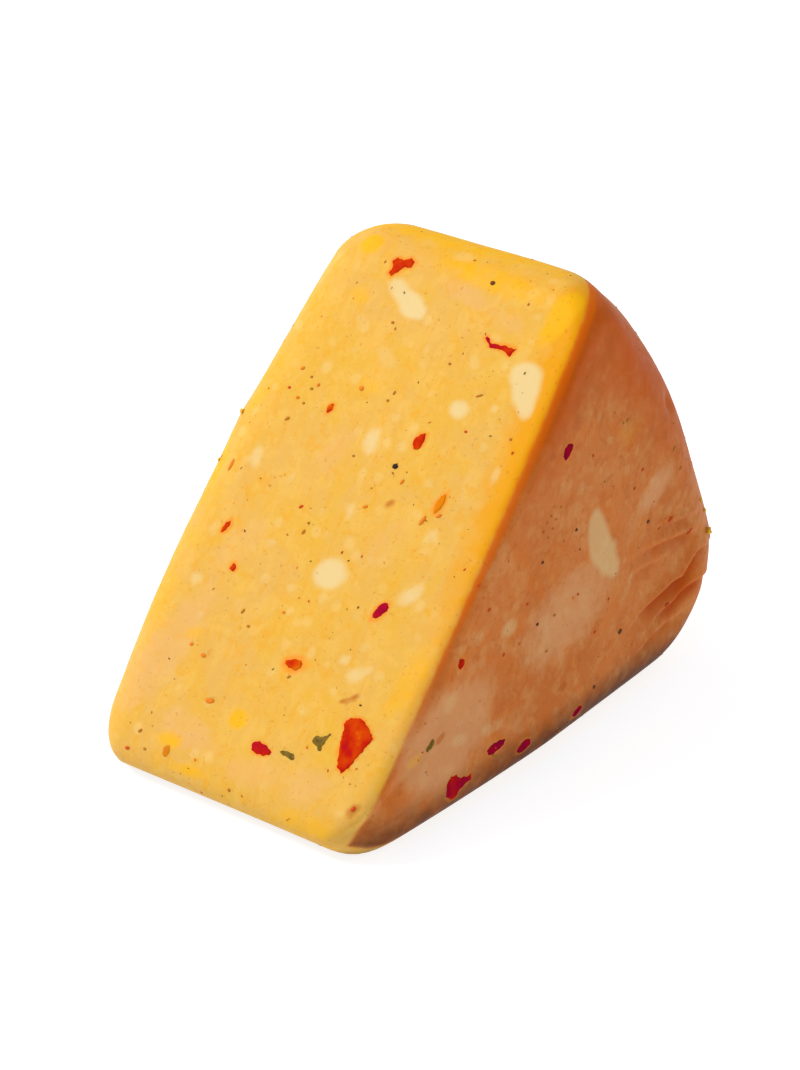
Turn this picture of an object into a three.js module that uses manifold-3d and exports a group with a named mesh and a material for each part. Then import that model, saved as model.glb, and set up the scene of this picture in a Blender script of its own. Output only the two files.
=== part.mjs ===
// A retail wedge of spiced semi-hard cheese: a sector cut from a small pressed wheel, its corners rounded
// soft by the wrap it was pressed in, lying on one of its two cut faces. Flakes of chilli, a piece of dried
// pepper, bits of herb, seeds and grains of pepper lie flush in the faces of the paste.
//
// Millimetres. +X runs across the wheel's thickness, +Y from the tip to the rind, and +Z is up. The origin
// is under the middle of the wedge, on the surface that it lies on.

import * as THREE from 'three';
import { mergeVertices } from 'three/addons/utils/BufferGeometryUtils.js';
import Module from 'manifold-3d';

const { Vector2, Vector3 } = THREE;
const { lerp, clamp, degToRad, smoothstep } = THREE.MathUtils;

// The wheel's sector.
const WEDGE_ANGLE = degToRad(50.5);
const RIND_RADIUS = { bottom: 97, top: 91.5, swell: 1 }; // from the sharp tip edge to the rind
const FACE_RADIUS = 91.5; // the radius at which the rind's sizes below hold
// Half the wheel's thickness on each side, at the tip and at the rind's top and bottom corners.
const RIGHT_HALF = { tip: 22.5, top: 24.5, bottom: 23.5, swell: 1.5 };
const LEFT_HALF = { tip: 25, top: 23, bottom: 25, swell: 3.5 };
// How far each corner of the section, and each edge along the wheel's flat faces, is rounded off.
const CORNER_ROUND = { tip: 9, top: 6.5, bottom: 23 };
const EDGE_ROUND = { tip: 6, top: 11, bottom: 11.5 };
// The right-hand edge of the upper cut face is crisper. Its own rounding takes over across the thickness, up
// in shares of the wedge's angle, and outward in shares of the radius, and fades at the rind's corner.
const CREST = { round: 2.6, across: [0, 12], up: [0.72, 0.95], start: [0.05, 0.16], end: [0.88, 1.05] };
const SAGGED_EDGE = 0.65; // the edges that bear on the table are rounded by this share of the others
const SAG_REACH = 0.45; // and grow to the full rounding at this share of the wedge's angle

// How finely the paste's skin is divided: across, from tip to rind, and round the wedge's angle.
const STEPS = { across: 18, along: 32, round: 22 };
// The sharp block that the skin is drawn in from, and the core that its points are drawn towards.
const BLOCK = { half: 32, tip: 4, rind: 111, overhang: 0.08 };
const CORE = { half: 8, tip: 26, rind: 62, fan: 0.9, fanLength: 60 };
const HALVINGS = 24; // of the way between core and block, to find the skin

// Inclusions.
const FLAKE_THICK = 1;
const FLAKE_PROUD = 0.1; // above the paste's skin
const FIT_GAP = 0.3; // between an inclusion and its pocket
const POCKET_MOUTH = 4; // how far a pocket's cutter stands out of the skin
const FLAKE_POINTS = 10;
const GRAIN_SEGMENTS = 10;

const FINISH = {
  paste: { color: 0xe19352, roughness: 0.55, metalness: 0 },
  chilli: { color: 0xd42010, roughness: 0.4, metalness: 0 },
  herb: { color: 0x6f6a33, roughness: 0.7, metalness: 0 },
  seed: { color: 0xd98a1e, roughness: 0.5, metalness: 0 },
  peppercorn: { color: 0x33251f, roughness: 0.8, metalness: 0 },
};

// ---- The paste's rounded skin ----

// A size that changes evenly from the tip to the rind, and up the rind from its bottom to its top corner.
function blend(size, outward, upward) {
  const swell = (size.swell ?? 0) * Math.sin(Math.PI * clamp(outward, 0, 1));
  return lerp(size.tip, lerp(size.bottom, size.top, upward), outward) + swell;
}

// The distance outside a corner rounded by `round`, from the distances outside the faces that meet there.
function roundedCorner(faces, round) {
  if (Math.max(...faces) + round <= 0) {
    return Math.max(...faces);
  }
  return Math.hypot(...faces.map((face) => Math.max(face + round, 0))) - round;
}

// How far a point lies outside the paste; below zero inside it. The tip edge is at y = z = 0.
function outside(p) {
  const radius = Math.hypot(p.y, p.z);
  const upward = clamp(Math.atan2(p.z, p.y) / WEDGE_ANGLE, 0, 1);
  const outward = clamp(radius / FACE_RADIUS, 0, 1.1);
  const rind = lerp(RIND_RADIUS.bottom, RIND_RADIUS.top, upward)
    + RIND_RADIUS.swell * 4 * upward * (1 - upward);
  const cutFace = p.z * Math.cos(WEDGE_ANGLE) - p.y * Math.sin(WEDGE_ANGLE);
  const section = roundedCorner([-p.z, cutFace, radius - rind], blend(CORNER_ROUND, outward, upward));
  const side = Math.max(
    p.x - blend(RIGHT_HALF, outward, upward),
    -p.x - blend(LEFT_HALF, outward, upward),
  );
  const settled = lerp(SAGGED_EDGE, 1, smoothstep(upward, 0, SAG_REACH));
  const crest = smoothstep(p.x, ...CREST.across) * smoothstep(upward, ...CREST.up)
    * smoothstep(outward, ...CREST.start) * (1 - smoothstep(outward, ...CREST.end));
  const edgeRound = lerp(blend(EDGE_ROUND, outward, upward) * settled, CREST.round, crest);
  return roundedCorner([section, side], edgeRound);
}

// The place where the way from a point inside to a point outside crosses the skin.
function crossing(inside, beyond) {
  let low = 0;
  let high = 1;
  for (let i = 0; i < HALVINGS; i += 1) {
    const middle = (low + high) / 2;
    if (outside(inside.clone().lerp(beyond, middle)) < 0) {
      low = middle;
    } else {
      high = middle;
    }
  }
  return inside.clone().lerp(beyond, (low + high) / 2);
}

// The skin's outward direction at a point on it.
function outwardAt(p) {
  const step = 0.01;
  const slope = (axis) => outside(p.clone().addScaledVector(axis, step))
    - outside(p.clone().addScaledVector(axis, -step));
  const axes = [new Vector3(1, 0, 0), new Vector3(0, 1, 0), new Vector3(0, 0, 1)];
  return new Vector3(...axes.map(slope)).normalize();
}

function fromTip(x, radius, angle) {
  return new Vector3(x, radius * Math.cos(angle), radius * Math.sin(angle));
}

// The point of the core that a point of the block is drawn towards.
function coreOf(x, radius, share) {
  const coreRadius = clamp(radius, CORE.tip, CORE.rind);
  const fan = CORE.fan * clamp((coreRadius - CORE.tip) / CORE.fanLength, 0, 1);
  const angle = WEDGE_ANGLE * (0.5 + (clamp(share, 0, 1) - 0.5) * fan);
  return fromTip(clamp(x, -CORE.half, CORE.half), coreRadius, angle);
}

// Even steps from 0 to 1, drawn closer together at both ends, where the skin turns its corners.
function crowded(t) {
  return t - 0.08 * Math.sin(2 * Math.PI * t);
}

function pasteGeometry() {
  const geometry = new THREE.BoxGeometry(1, 1, 1, STEPS.across, STEPS.along, STEPS.round);
  const points = geometry.attributes.position;
  for (let i = 0; i < points.count; i += 1) {
    const [u, v, w] = [points.getX(i), points.getY(i), points.getZ(i)].map((t) => crowded(t + 0.5));
    const x = lerp(-BLOCK.half, BLOCK.half, u);
    const radius = lerp(BLOCK.tip, BLOCK.rind, v);
    const share = lerp(-BLOCK.overhang, 1 + BLOCK.overhang, w);
    const skin = crossing(coreOf(x, radius, share), fromTip(x, radius, share * WEDGE_ANGLE));
    points.setXYZ(i, skin.x, skin.y, Math.abs(skin.z) < 0.001 ? 0 : skin.z);
  }
  return geometry;
}

// ---- Places on the faces ----

const UP_THE_CUT = fromTip(0, 1, WEDGE_ANGLE);
const OUT_OF_THE_CUT = new Vector3(0, -Math.sin(WEDGE_ANGLE), Math.cos(WEDGE_ANGLE));

// Each face takes two numbers. It gives a point well inside the paste and one well outside it, and the
// face's first axis, along which an inclusion's outline has its first coordinate.
const FACES = {
  // Across the thickness, and up the slope from the tip edge.
  cut: (across, up) => {
    const foot = UP_THE_CUT.clone().multiplyScalar(up).setX(across);
    return [-5, 3].map((reach) => foot.clone().addScaledVector(OUT_OF_THE_CUT, reach))
      .concat(new Vector3(1, 0, 0));
  },
  // Along the wedge from the tip edge, and up from the table.
  right: (along, up) => [new Vector3(0, along, up), new Vector3(40, along, up), new Vector3(0, 1, 0)],
  left: (along, up) => [new Vector3(0, along, up), new Vector3(-40, along, up), new Vector3(0, -1, 0)],
  // Across the thickness, and the share of the wedge's angle up from the table.
  rind: (across, share) => [50, 120].map((radius) => fromTip(across, radius, share * WEDGE_ANGLE))
    .concat(new Vector3(-1, 0, 0)),
};

// A frame on the skin: its z axis points out of the paste, its x axis along the face's first axis.
function seatOn(face, place) {
  const [inside, beyond, first] = FACES[face](...place);
  const point = crossing(inside, beyond);
  const out = outwardAt(point);
  const along = first.addScaledVector(out, -first.dot(out)).normalize();
  const basis = new THREE.Matrix4().makeBasis(along, out.clone().cross(along), out);
  return { point, turn: new THREE.Quaternion().setFromRotationMatrix(basis) };
}

// ---- Inclusions ----

// A flake's outline: an ellipse with its long axis at `turn` degrees, whose edge wanders a little.
function ragged(length, width, turn, wander) {
  return Array.from({ length: FLAKE_POINTS }, (_, i) => {
    const a = (i / FLAKE_POINTS) * 2 * Math.PI;
    const reach = 1 + 0.12 * Math.sin(2 * a + wander) + 0.08 * Math.sin(3 * a + 2 * wander);
    return new Vector2((length / 2) * reach * Math.cos(a), (width / 2) * reach * Math.sin(a))
      .rotateAround(new Vector2(), degToRad(turn));
  });
}

const outlineOf = (points) => points.map(([x, y]) => new Vector2(x, y));

// The outline moved out by `gap` all round.
function grown(outline, gap) {
  const side = THREE.ShapeUtils.isClockWise(outline) ? 1 : -1;
  const normal = (a, b) => new Vector2(-(b.y - a.y), b.x - a.x).normalize().multiplyScalar(side);
  return outline.map((point, i) => {
    const before = normal(outline.at(i - 1), point);
    const after = normal(point, outline[(i + 1) % outline.length]);
    const middle = before.clone().add(after).normalize();
    return point.clone().addScaledVector(middle, gap / Math.max(middle.dot(after), 0.5));
  });
}

function plate(outline, from, to) {
  const shape = new THREE.Shape(outline);
  return new THREE.ExtrudeGeometry(shape, { depth: to - from, bevelEnabled: false }).translate(0, 0, from);
}

function ball([x, y, z], gap) {
  return new THREE.SphereGeometry(1, GRAIN_SEGMENTS, GRAIN_SEGMENTS / 2 + 1)
    .scale(x / 2 + gap, y / 2 + gap, z / 2 + gap);
}

// A flat flake, let in so that it stands FLAKE_PROUD above the skin.
const flake = (outline) => ({
  body: plate(outline, FLAKE_PROUD - FLAKE_THICK, FLAKE_PROUD),
  pocket: plate(grown(outline, FIT_GAP), FLAKE_PROUD - FLAKE_THICK - FIT_GAP, POCKET_MOUTH),
});

// A seed or a grain, its middle on the skin.
const grain = (...size) => ({ body: ball(size, 0), pocket: ball(size, FIT_GAP) });

const PEPPER_PIECE = outlineOf([
  [-2.5, 3], [-0.7, 3.9], [0.5, 3.6], [2.6, 2], [0.9, -2.9], [0.2, -3.9], [-0.9, -3.3], [-2, 0.2],
]);
const BENT_CHILLI = outlineOf([
  [-2, 0.7], [-1.3, 1.4], [-0.2, 1.3], [0.7, 1.9], [1.6, 1.5], [1.4, 0.6], [0.4, 0.3], [-0.2, -0.4],
  [-1.1, -1.4], [-1.7, -1.1], [-1.5, 0],
]);
const CHILLI_STRAND = outlineOf([
  [-2.6, 0.9], [-1.4, 0], [0.4, 0.3], [2.6, 0.3], [2, -0.9], [0.6, -0.4], [-1.5, -0.5], [-2.9, 0.5],
]);
const CHILLI_WEDGE = outlineOf([
  [-1.6, 1], [-0.8, 1.9], [0.4, 1.7], [1.2, 0.8], [2.5, 0.5], [3.7, 0.4], [3.7, -0.4], [2.5, -0.7],
  [1.3, -1], [0.6, -2], [-0.5, -2], [-1.6, -1],
]);

const HERB_SPRIG = outlineOf([
  [-1.2, -0.4], [-0.9, 0.5], [0.1, 0.7], [1.1, 1.5], [1.3, 1.3], [0.8, 0.3], [0.7, -1.1], [0.3, -1.2],
  [-0.2, -0.8],
]);

// Name, material, face, place on the face, and shape.
const INCLUSIONS = [
  ['pepper_piece', 'chilli', 'cut', [16.4, 19.4], flake(PEPPER_PIECE)],
  ['chilli_bent', 'chilli', 'cut', [-7.3, 83.9], flake(BENT_CHILLI)],
  ['chilli_strand', 'chilli', 'cut', [12.9, 77.4], flake(CHILLI_STRAND)],
  ['chilli_cut_1', 'chilli', 'cut', [7, 61.4], flake(ragged(2.4, 1.7, 75, 1))],
  ['chilli_cut_2', 'chilli', 'cut', [11.9, 37.8], flake(ragged(2.7, 1.6, 60, 2))],
  ['chilli_cut_3', 'chilli', 'cut', [2.5, 26.9], flake(ragged(2.9, 1.6, 20, 3))],
  ['chilli_cut_4', 'chilli', 'cut', [3, 14.5], flake(ragged(3.7, 1.6, 2, 4))],
  ['chilli_cut_5', 'chilli', 'cut', [-13.3, 36.4], flake(ragged(1.2, 1, 30, 5))],
  ['chilli_cut_6', 'chilli', 'cut', [-17.2, 41.5], flake(ragged(2.2, 0.8, 65, 6))],
  ['chilli_cut_7', 'chilli', 'cut', [14, 54.2], flake(ragged(2.8, 1.1, 80, 1.5))],
  ['chilli_cut_8', 'chilli', 'cut', [-9, 62], flake(ragged(1.5, 1, 85, 2.5))],
  ['chilli_wedge', 'chilli', 'right', [24.6, 6], flake(CHILLI_WEDGE)],
  ['chilli_right_1', 'chilli', 'right', [48.8, 47.6], flake(ragged(2.4, 2.2, 20, 1))],
  ['chilli_right_2', 'chilli', 'right', [33.6, 8.2], flake(ragged(4.4, 1.5, 8, 4))],
  ['chilli_right_3', 'chilli', 'right', [40.1, 5.6], flake(ragged(3, 1.9, 10, 2))],
  ['chilli_right_4', 'chilli', 'right', [53.3, 5.2], flake(ragged(2.4, 1.5, 20, 3))],
  ['chilli_right_5', 'chilli', 'right', [25.7, 24.5], flake(ragged(1.8, 1.4, 50, 5))],
  ['chilli_left_1', 'chilli', 'left', [30, 18], flake(ragged(3.4, 1.9, 25, 1))],
  ['chilli_left_2', 'chilli', 'left', [57, 41], flake(ragged(2.6, 1.7, 70, 2))],
  ['chilli_left_3', 'chilli', 'left', [70, 17], flake(ragged(2.2, 1.5, 120, 3))],
  ['chilli_left_4', 'chilli', 'left', [47, 9], flake(ragged(3.8, 1.2, 160, 4))],
  ['chilli_rind_1', 'chilli', 'rind', [8, 0.68], flake(ragged(3.2, 2.1, 40, 2))],
  ['chilli_rind_2', 'chilli', 'rind', [-11, 0.45], flake(ragged(2.4, 1.4, 110, 5))],
  ['herb_cut_1', 'herb', 'cut', [7.5, 15.1], flake(ragged(2.5, 0.9, 0, 2))],
  ['herb_cut_2', 'herb', 'cut', [11.4, 18.4], flake(HERB_SPRIG)],
  ['herb_right_1', 'herb', 'right', [19.6, 14.5], flake(ragged(1.8, 0.9, 50, 3))],
  ['herb_left_1', 'herb', 'left', [42, 28], flake(ragged(2.4, 1.1, 35, 1))],
  ['herb_rind_1', 'herb', 'rind', [2, 0.3], flake(ragged(2.2, 1, 80, 4))],
  ['seed_cut_1', 'seed', 'cut', [-11.4, 9.4], grain(1.5, 1.9, 0.8)],
  ['seed_left_1', 'seed', 'left', [62, 28], grain(1.8, 1.4, 0.8)],
  ['peppercorn_cut_1', 'peppercorn', 'cut', [5, 57.1], grain(1, 0.9, 0.8)],
  ['peppercorn_right_1', 'peppercorn', 'right', [72.9, 14.6], grain(1, 0.9, 0.8)],
  ['peppercorn_rind_1', 'peppercorn', 'rind', [-5, 0.75], grain(1.1, 1, 0.8)],
];

function inclusionMesh([name, finish, face, place, shape]) {
  const mesh = new THREE.Mesh(closed(shape.body), new THREE.MeshStandardMaterial(FINISH[finish]));
  const seat = seatOn(face, place);
  mesh.name = name;
  mesh.position.copy(seat.point);
  mesh.quaternion.copy(seat.turn);
  mesh.updateMatrix();
  return mesh;
}

// ---- Solids ----

// A geometry of position only, its shared vertices merged.
function closed(geometry) {
  geometry.deleteAttribute('normal');
  geometry.deleteAttribute('uv');
  return mergeVertices(geometry, 1e-3);
}

const wasm = await Module();
wasm.setup();

function solidOf(geometry) {
  const vertProperties = Float32Array.from(geometry.attributes.position.array);
  const triVerts = Uint32Array.from(geometry.index.array);
  return new wasm.Manifold(new wasm.Mesh({ numProp: 3, vertProperties, triVerts }));
}

function geometryOf(solid) {
  const { vertProperties, triVerts } = solid.getMesh();
  const geometry = new THREE.BufferGeometry();
  geometry.setAttribute('position', new THREE.BufferAttribute(vertProperties, 3));
  geometry.setIndex(new THREE.BufferAttribute(triVerts, 1));
  return geometry;
}

// ---- The wedge ----

const inclusions = INCLUSIONS.map(inclusionMesh);
const whole = closed(pasteGeometry());
const pocketed = INCLUSIONS.reduce((solid, [, , , , shape], i) => {
  const pocket = closed(shape.pocket).applyMatrix4(inclusions[i].matrix);
  return solid.subtract(solidOf(pocket));
}, solidOf(whole));

const paste = new THREE.Mesh(geometryOf(pocketed), new THREE.MeshStandardMaterial(FINISH.paste));
paste.name = 'cheese_paste';

// The tip edge's frame is moved so that the origin comes under the middle of the paste.
whole.computeBoundingBox();
const middle = whole.boundingBox.getCenter(new Vector3());
const wedge = new THREE.Group();
wedge.add(paste, ...inclusions);
wedge.position.set(-middle.x, -middle.y, 0);

export default wedge;
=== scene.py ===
"""The looks of a wedge of spiced semi-hard cheese, built round its packed frame.

The wedge is a sector of a small pressed wheel. It lies on one of its two cut faces. Places on it are worked
out in the wedge's own frame, whose x axis is the sharp tip edge: x runs across the wheel's thickness, y from
the tip to the rind and z up. One move takes that frame to the row's frame, whose origin is under the middle.
"""

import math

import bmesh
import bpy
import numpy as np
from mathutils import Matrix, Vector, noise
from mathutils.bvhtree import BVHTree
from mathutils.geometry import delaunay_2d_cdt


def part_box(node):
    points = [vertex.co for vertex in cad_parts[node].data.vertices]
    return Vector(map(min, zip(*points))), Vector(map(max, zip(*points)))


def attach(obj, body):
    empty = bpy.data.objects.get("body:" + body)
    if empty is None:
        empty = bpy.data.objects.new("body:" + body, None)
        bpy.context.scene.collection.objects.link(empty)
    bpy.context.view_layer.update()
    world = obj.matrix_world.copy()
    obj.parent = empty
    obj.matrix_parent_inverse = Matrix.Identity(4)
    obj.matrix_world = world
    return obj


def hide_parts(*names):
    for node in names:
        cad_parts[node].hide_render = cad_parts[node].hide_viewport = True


bl_info = {
    "name": "Cheese wedge",
    "version": (1, 0, 0),
    "blender": (4, 5, 0),
    "location": "View3D > Sidebar > Cheese",
    "description": "Builds a wedge of spiced semi-hard cheese, and the floor and light it is shown in",
    "category": "Object",
}

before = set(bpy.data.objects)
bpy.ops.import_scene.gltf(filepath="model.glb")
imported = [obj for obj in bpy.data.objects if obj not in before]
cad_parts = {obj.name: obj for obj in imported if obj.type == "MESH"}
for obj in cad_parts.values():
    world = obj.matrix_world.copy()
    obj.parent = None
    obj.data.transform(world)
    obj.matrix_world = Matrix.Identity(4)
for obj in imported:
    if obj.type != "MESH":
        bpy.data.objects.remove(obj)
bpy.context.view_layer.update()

MM = 0.001
BODY = "root"
PASTE = "cheese_paste"
WEDGE_ANGLE = math.radians(50.5)  # between the two cut faces
FACE_RADIUS = 91.5  # from the tip edge to the top of the rind, in millimetres


def linear(code):
    """An sRGB hex code as a linear colour with alpha."""
    shares = [int(code[i:i + 2], 16) / 255 for i in (1, 3, 5)]
    return tuple(c / 12.92 if c <= 0.04045 else ((c + 0.055) / 1.055) ** 2.4 for c in shares) + (1.0,)


# ---- Sizes and colours that a user may change ----

def lengths(name, description, *millimetres):
    """A property that holds several lengths."""
    return bpy.props.FloatVectorProperty(
        name=name, description=description, size=len(millimetres), precision=4,
        default=[v * MM for v in millimetres], unit="LENGTH",
    )


def length(name, description, millimetres):
    return bpy.props.FloatProperty(
        name=name, description=description, default=millimetres * MM, precision=5, unit="LENGTH",
    )


def colour(name, description, code):
    return bpy.props.FloatVectorProperty(
        name=name, description=description, size=4, subtype="COLOR", min=0, max=1, default=linear(code),
    )


def share(name, description, value, highest=1.0):
    return bpy.props.FloatProperty(name=name, description=description, default=value, min=0, max=highest)


class WedgeShape(bpy.types.PropertyGroup):
    """The sector that was cut from the wheel. Its sizes are the frame's."""

    angle: bpy.props.FloatProperty(
        name="Wedge angle", description="Between the two cut faces", subtype="ANGLE",
        default=WEDGE_ANGLE,
    )
    rind: lengths("Rind radius", "From the tip edge to the rind: at its bottom, at its top, and its swell",
                  97, FACE_RADIUS, 1)
    face_radius: length("Face radius", "The radius at which the sizes at the rind hold", FACE_RADIUS)
    right_half: lengths("Right half", "Half the thickness on the right: tip, rind's bottom, top, and swell",
                        22.5, 23.5, 24.5, 1.5)
    left_half: lengths("Left half", "Half the thickness on the left: tip, rind's bottom, top, and swell",
                       25, 25, 23, 3.5)
    corner_round: lengths("Corner rounding", "Of the section: tip, rind's bottom, rind's top", 9, 23, 6.5)
    edge_round: lengths("Edge rounding", "Along the wheel's faces: tip, rind's bottom, rind's top",
                        6, 11.5, 11)
    crest_round: length("Crest rounding", "Along the right-hand edge of the upper cut face", 2.6)
    sagged_edge: share("Sagged edge", "Share of the rounding left on the edges that bear on the table", 0.65)


class PasteRelief(bpy.types.PropertyGroup):
    """The unevenness of the paste's skin."""

    swell_height: length("Swell height", "Of the broad waves in the skin", 0.35)
    swell_size: length("Swell size", "From one broad wave to the next", 17)
    knobble_height: length("Knobble height", "Of the small unevenness of pressed curd", 0.09)
    knobble_size: length("Knobble size", "From one small lump to the next", 3.2)


class CheeseColours(bpy.types.PropertyGroup):
    """Base colours of the cheese and of what is in it."""

    peach: colour("Peach paste", "The cut paste", "#C79A4A")
    gold: colour("Gold paste", "The richer, yellower patches of the cut paste", "#CB9B29")
    skin: colour("Wheel skin", "The wheel's own faces and rind", "#C07034")
    skin_deep: colour("Deep skin", "The darker patches of the wheel's skin", "#AC5616")
    curd: colour("Curd", "The pale lumps of curd", "#CBB27C")
    oil: colour("Chilli oil", "What bleeds from the chilli into the paste", "#DB7A12")


class SpiceMix(bpy.types.PropertyGroup):
    """The ground spice that shows in every face."""

    density: bpy.props.FloatProperty(
        name="Density", description="Bits in a square metre of skin", default=50000, min=0)
    smallest: length("Smallest", "The length of the smallest bit", 0.16)
    largest: length("Largest", "The length of the largest bit", 0.6)
    seed: bpy.props.IntProperty(name="Seed", description="Of the scatter", default=7)


class StageSetup(bpy.types.PropertyGroup):
    """The camera and the light."""

    azimuth: bpy.props.FloatProperty(
        name="Camera azimuth", description="Round the wedge, from straight in front of its tip",
        subtype="ANGLE", default=math.radians(37.3))
    elevation: bpy.props.FloatProperty(
        name="Camera elevation", description="Above the table", subtype="ANGLE",
        default=math.radians(26.78))
    roll: bpy.props.FloatProperty(
        name="Camera roll", description="Round the line of sight", subtype="ANGLE",
        default=math.radians(0.48))
    distance: length("Camera distance", "From the wedge's middle", 480)
    lens: bpy.props.FloatProperty(
        name="Lens", description="Focal length on a 36 mm long side", default=113.8, min=10)
    key_power: bpy.props.FloatProperty(
        name="Key light", description="Power of the soft box", default=14.0, min=0, unit="POWER")
    sky: share("Surrounding light", "Strength of the white room", 0.72, 5.0)


SETTINGS = {
    "cheese_shape": WedgeShape,
    "cheese_relief": PasteRelief,
    "cheese_colours": CheeseColours,
    "cheese_spice": SpiceMix,
    "cheese_stage": StageSetup,
}

# ---- The wedge's skin ----

STEPS = (80, 150, 140)  # how finely the skin is divided: across, from tip to rind, and round the angle
FOLD_STEPS = ([0, 0.05, 0.52, 1], [0, 0.06, 0.37, 1])  # the last axis is divided more finely at the folds
BLOCK_HALF = 32 * MM  # the sharp block that the skin is drawn in from: half its thickness,
BLOCK_REACH = (4 * MM, 111 * MM)  # its radii from the tip edge,
BLOCK_FAN = (-0.08, 1.08)  # and how far it fans out, in shares of the wedge's angle
CORE_HALF = 8 * MM  # the core that its points are drawn towards
CORE_REACH = (26 * MM, 62 * MM)
CORE_FAN = 0.9
CORE_FAN_LENGTH = 60 * MM
HALVINGS = 24
CREST_ACROSS = (0, 12 * MM)  # where the crest's own rounding takes over: across,
CREST_UP = (0.72, 0.95)  # up, in shares of the wedge's angle,
CREST_START = (0.05, 0.16)  # and outward, in shares of the radius
CREST_END = (0.88, 1.05)
SAG_REACH = 0.45  # the share of the wedge's angle where the edges have their full rounding again


def smooth(value, low, high):
    t = np.clip((value - low) / (high - low), 0, 1)
    return t * t * (3 - 2 * t)


def mixed(a, b, t):
    return a + (b - a) * t


def from_tip(x, radius, angle):
    return np.stack(np.broadcast_arrays(x, radius * np.cos(angle), radius * np.sin(angle)), -1)


def rounded(distances, radius):
    """The distance outside a corner, from the distances outside the faces that meet there."""
    nearest = np.max(distances, axis=0)
    arc = np.sqrt(sum(np.maximum(d + radius, 0) ** 2 for d in distances)) - radius
    return np.where(nearest + radius > 0, arc, nearest)


def reach_of(points, shape):
    """How far up the wedge's angle and out from its tip edge points are, as shares."""
    y, z = points[..., 1], points[..., 2]
    upward = np.clip(np.arctan2(z, y) / shape.angle, 0, 1)
    return upward, np.clip(np.hypot(y, z) / shape.face_radius, 0, 1.1)


def blend(size, upward, outward):
    """A size that changes evenly from the tip to the rind, and up the rind."""
    swell = size[3] * np.sin(math.pi * np.clip(outward, 0, 1)) if len(size) > 3 else 0
    return mixed(size[0], mixed(size[1], size[2], upward), outward) + swell


def beyond_faces(points, shape):
    """How far points lie beyond the table, the upper cut face, the rind, and the right and left faces."""
    x, y, z = np.moveaxis(points, -1, 0)
    upward, outward = reach_of(points, shape)
    bottom, top, swell = shape.rind
    rind = mixed(bottom, top, upward) + swell * 4 * upward * (1 - upward)
    cut = z * math.cos(shape.angle) - y * math.sin(shape.angle)
    right = x - blend(shape.right_half, upward, outward)
    left = -x - blend(shape.left_half, upward, outward)
    return -z, cut, np.hypot(y, z) - rind, right, left


def outside(points, shape):
    """How far points of the wedge's own frame lie outside its smooth skin."""
    upward, outward = reach_of(points, shape)
    below, cut, rind, right, left = beyond_faces(points, shape)
    section = rounded((below, cut, rind), blend(shape.corner_round, upward, outward))
    settled = mixed(shape.sagged_edge, 1, smooth(upward, 0, SAG_REACH))
    crest = smooth(points[..., 0], *CREST_ACROSS) * smooth(upward, *CREST_UP)
    crest = crest * smooth(outward, *CREST_START) * (1 - smooth(outward, *CREST_END))
    edge = mixed(blend(shape.edge_round, upward, outward) * settled, shape.crest_round, crest)
    return rounded((section, np.maximum(right, left)), edge)


def crossing(inside, beyond, shape):
    """Where the ways from points inside to points outside cross the smooth skin."""
    low, high = np.zeros(len(inside)), np.ones(len(inside))
    for _ in range(HALVINGS):
        middle = (low + high) / 2
        within = outside(inside + (beyond - inside) * middle[:, None], shape) < 0
        low, high = np.where(within, middle, low), np.where(within, high, middle)
    return inside + (beyond - inside) * ((low + high) / 2)[:, None]


def outward_at(points, shape):
    """The smooth skin's outward directions."""
    steps = np.eye(3) * 0.01 * MM
    slope = np.stack([outside(points + s, shape) - outside(points - s, shape) for s in steps], -1)
    return slope / np.linalg.norm(slope, axis=-1, keepdims=True)


def block(steps):
    """A closed block of quads that face out: its points, as shares along three axes, and its faces."""
    axes = [np.linspace(0, 1, n + 1) for n in steps]
    lattice = np.stack(np.meshgrid(*axes, indexing="ij"), -1)
    skin = np.zeros(lattice.shape[:3], bool)
    for axis in range(3):
        skin.swapaxes(0, axis)[[0, -1]] = True
    index = np.full(skin.shape, -1)
    index[skin] = np.arange(skin.sum())
    faces = []
    for axis in range(3):
        for end in (0, -1):
            sheet = np.take(index, end, axis=axis)
            quads = np.stack([sheet[:-1, :-1], sheet[1:, :-1], sheet[1:, 1:], sheet[:-1, 1:]], -1)
            facing_out = (end == -1) != (axis == 1)
            faces.append(quads.reshape(-1, 4)[:, ::1 if facing_out else -1])
    return lattice[skin], np.concatenate(faces)


def smooth_skin(shape):
    """The wedge's smooth skin: points in the wedge's own frame, and quads."""
    shares, faces = block(STEPS)
    shares[:, :2] -= 0.06 * np.sin(2 * math.pi * shares[:, :2])  # closer together at the rounded edges
    shares[:, 2] = np.interp(shares[:, 2], *FOLD_STEPS)
    x = mixed(-BLOCK_HALF, BLOCK_HALF, shares[:, 0])
    radius = mixed(*BLOCK_REACH, shares[:, 1])
    fan = mixed(*BLOCK_FAN, shares[:, 2])
    core_radius = np.clip(radius, *CORE_REACH)
    core_fan = CORE_FAN * np.clip((core_radius - CORE_REACH[0]) / CORE_FAN_LENGTH, 0, 1)
    core_angle = shape.angle * (0.5 + (np.clip(fan, 0, 1) - 0.5) * core_fan)
    core = from_tip(np.clip(x, -CORE_HALF, CORE_HALF), core_radius, core_angle)
    return crossing(core, from_tip(x, radius, fan * shape.angle), shape), faces


# ---- Places on the faces ----
# A place is two numbers in millimetres. On the cut face they are across the thickness and up the slope from
# the tip edge; on the wheel's two flat faces, along the wedge from the tip edge and up from the table; on
# the rind, across the thickness and up along the curve from the table.

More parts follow.
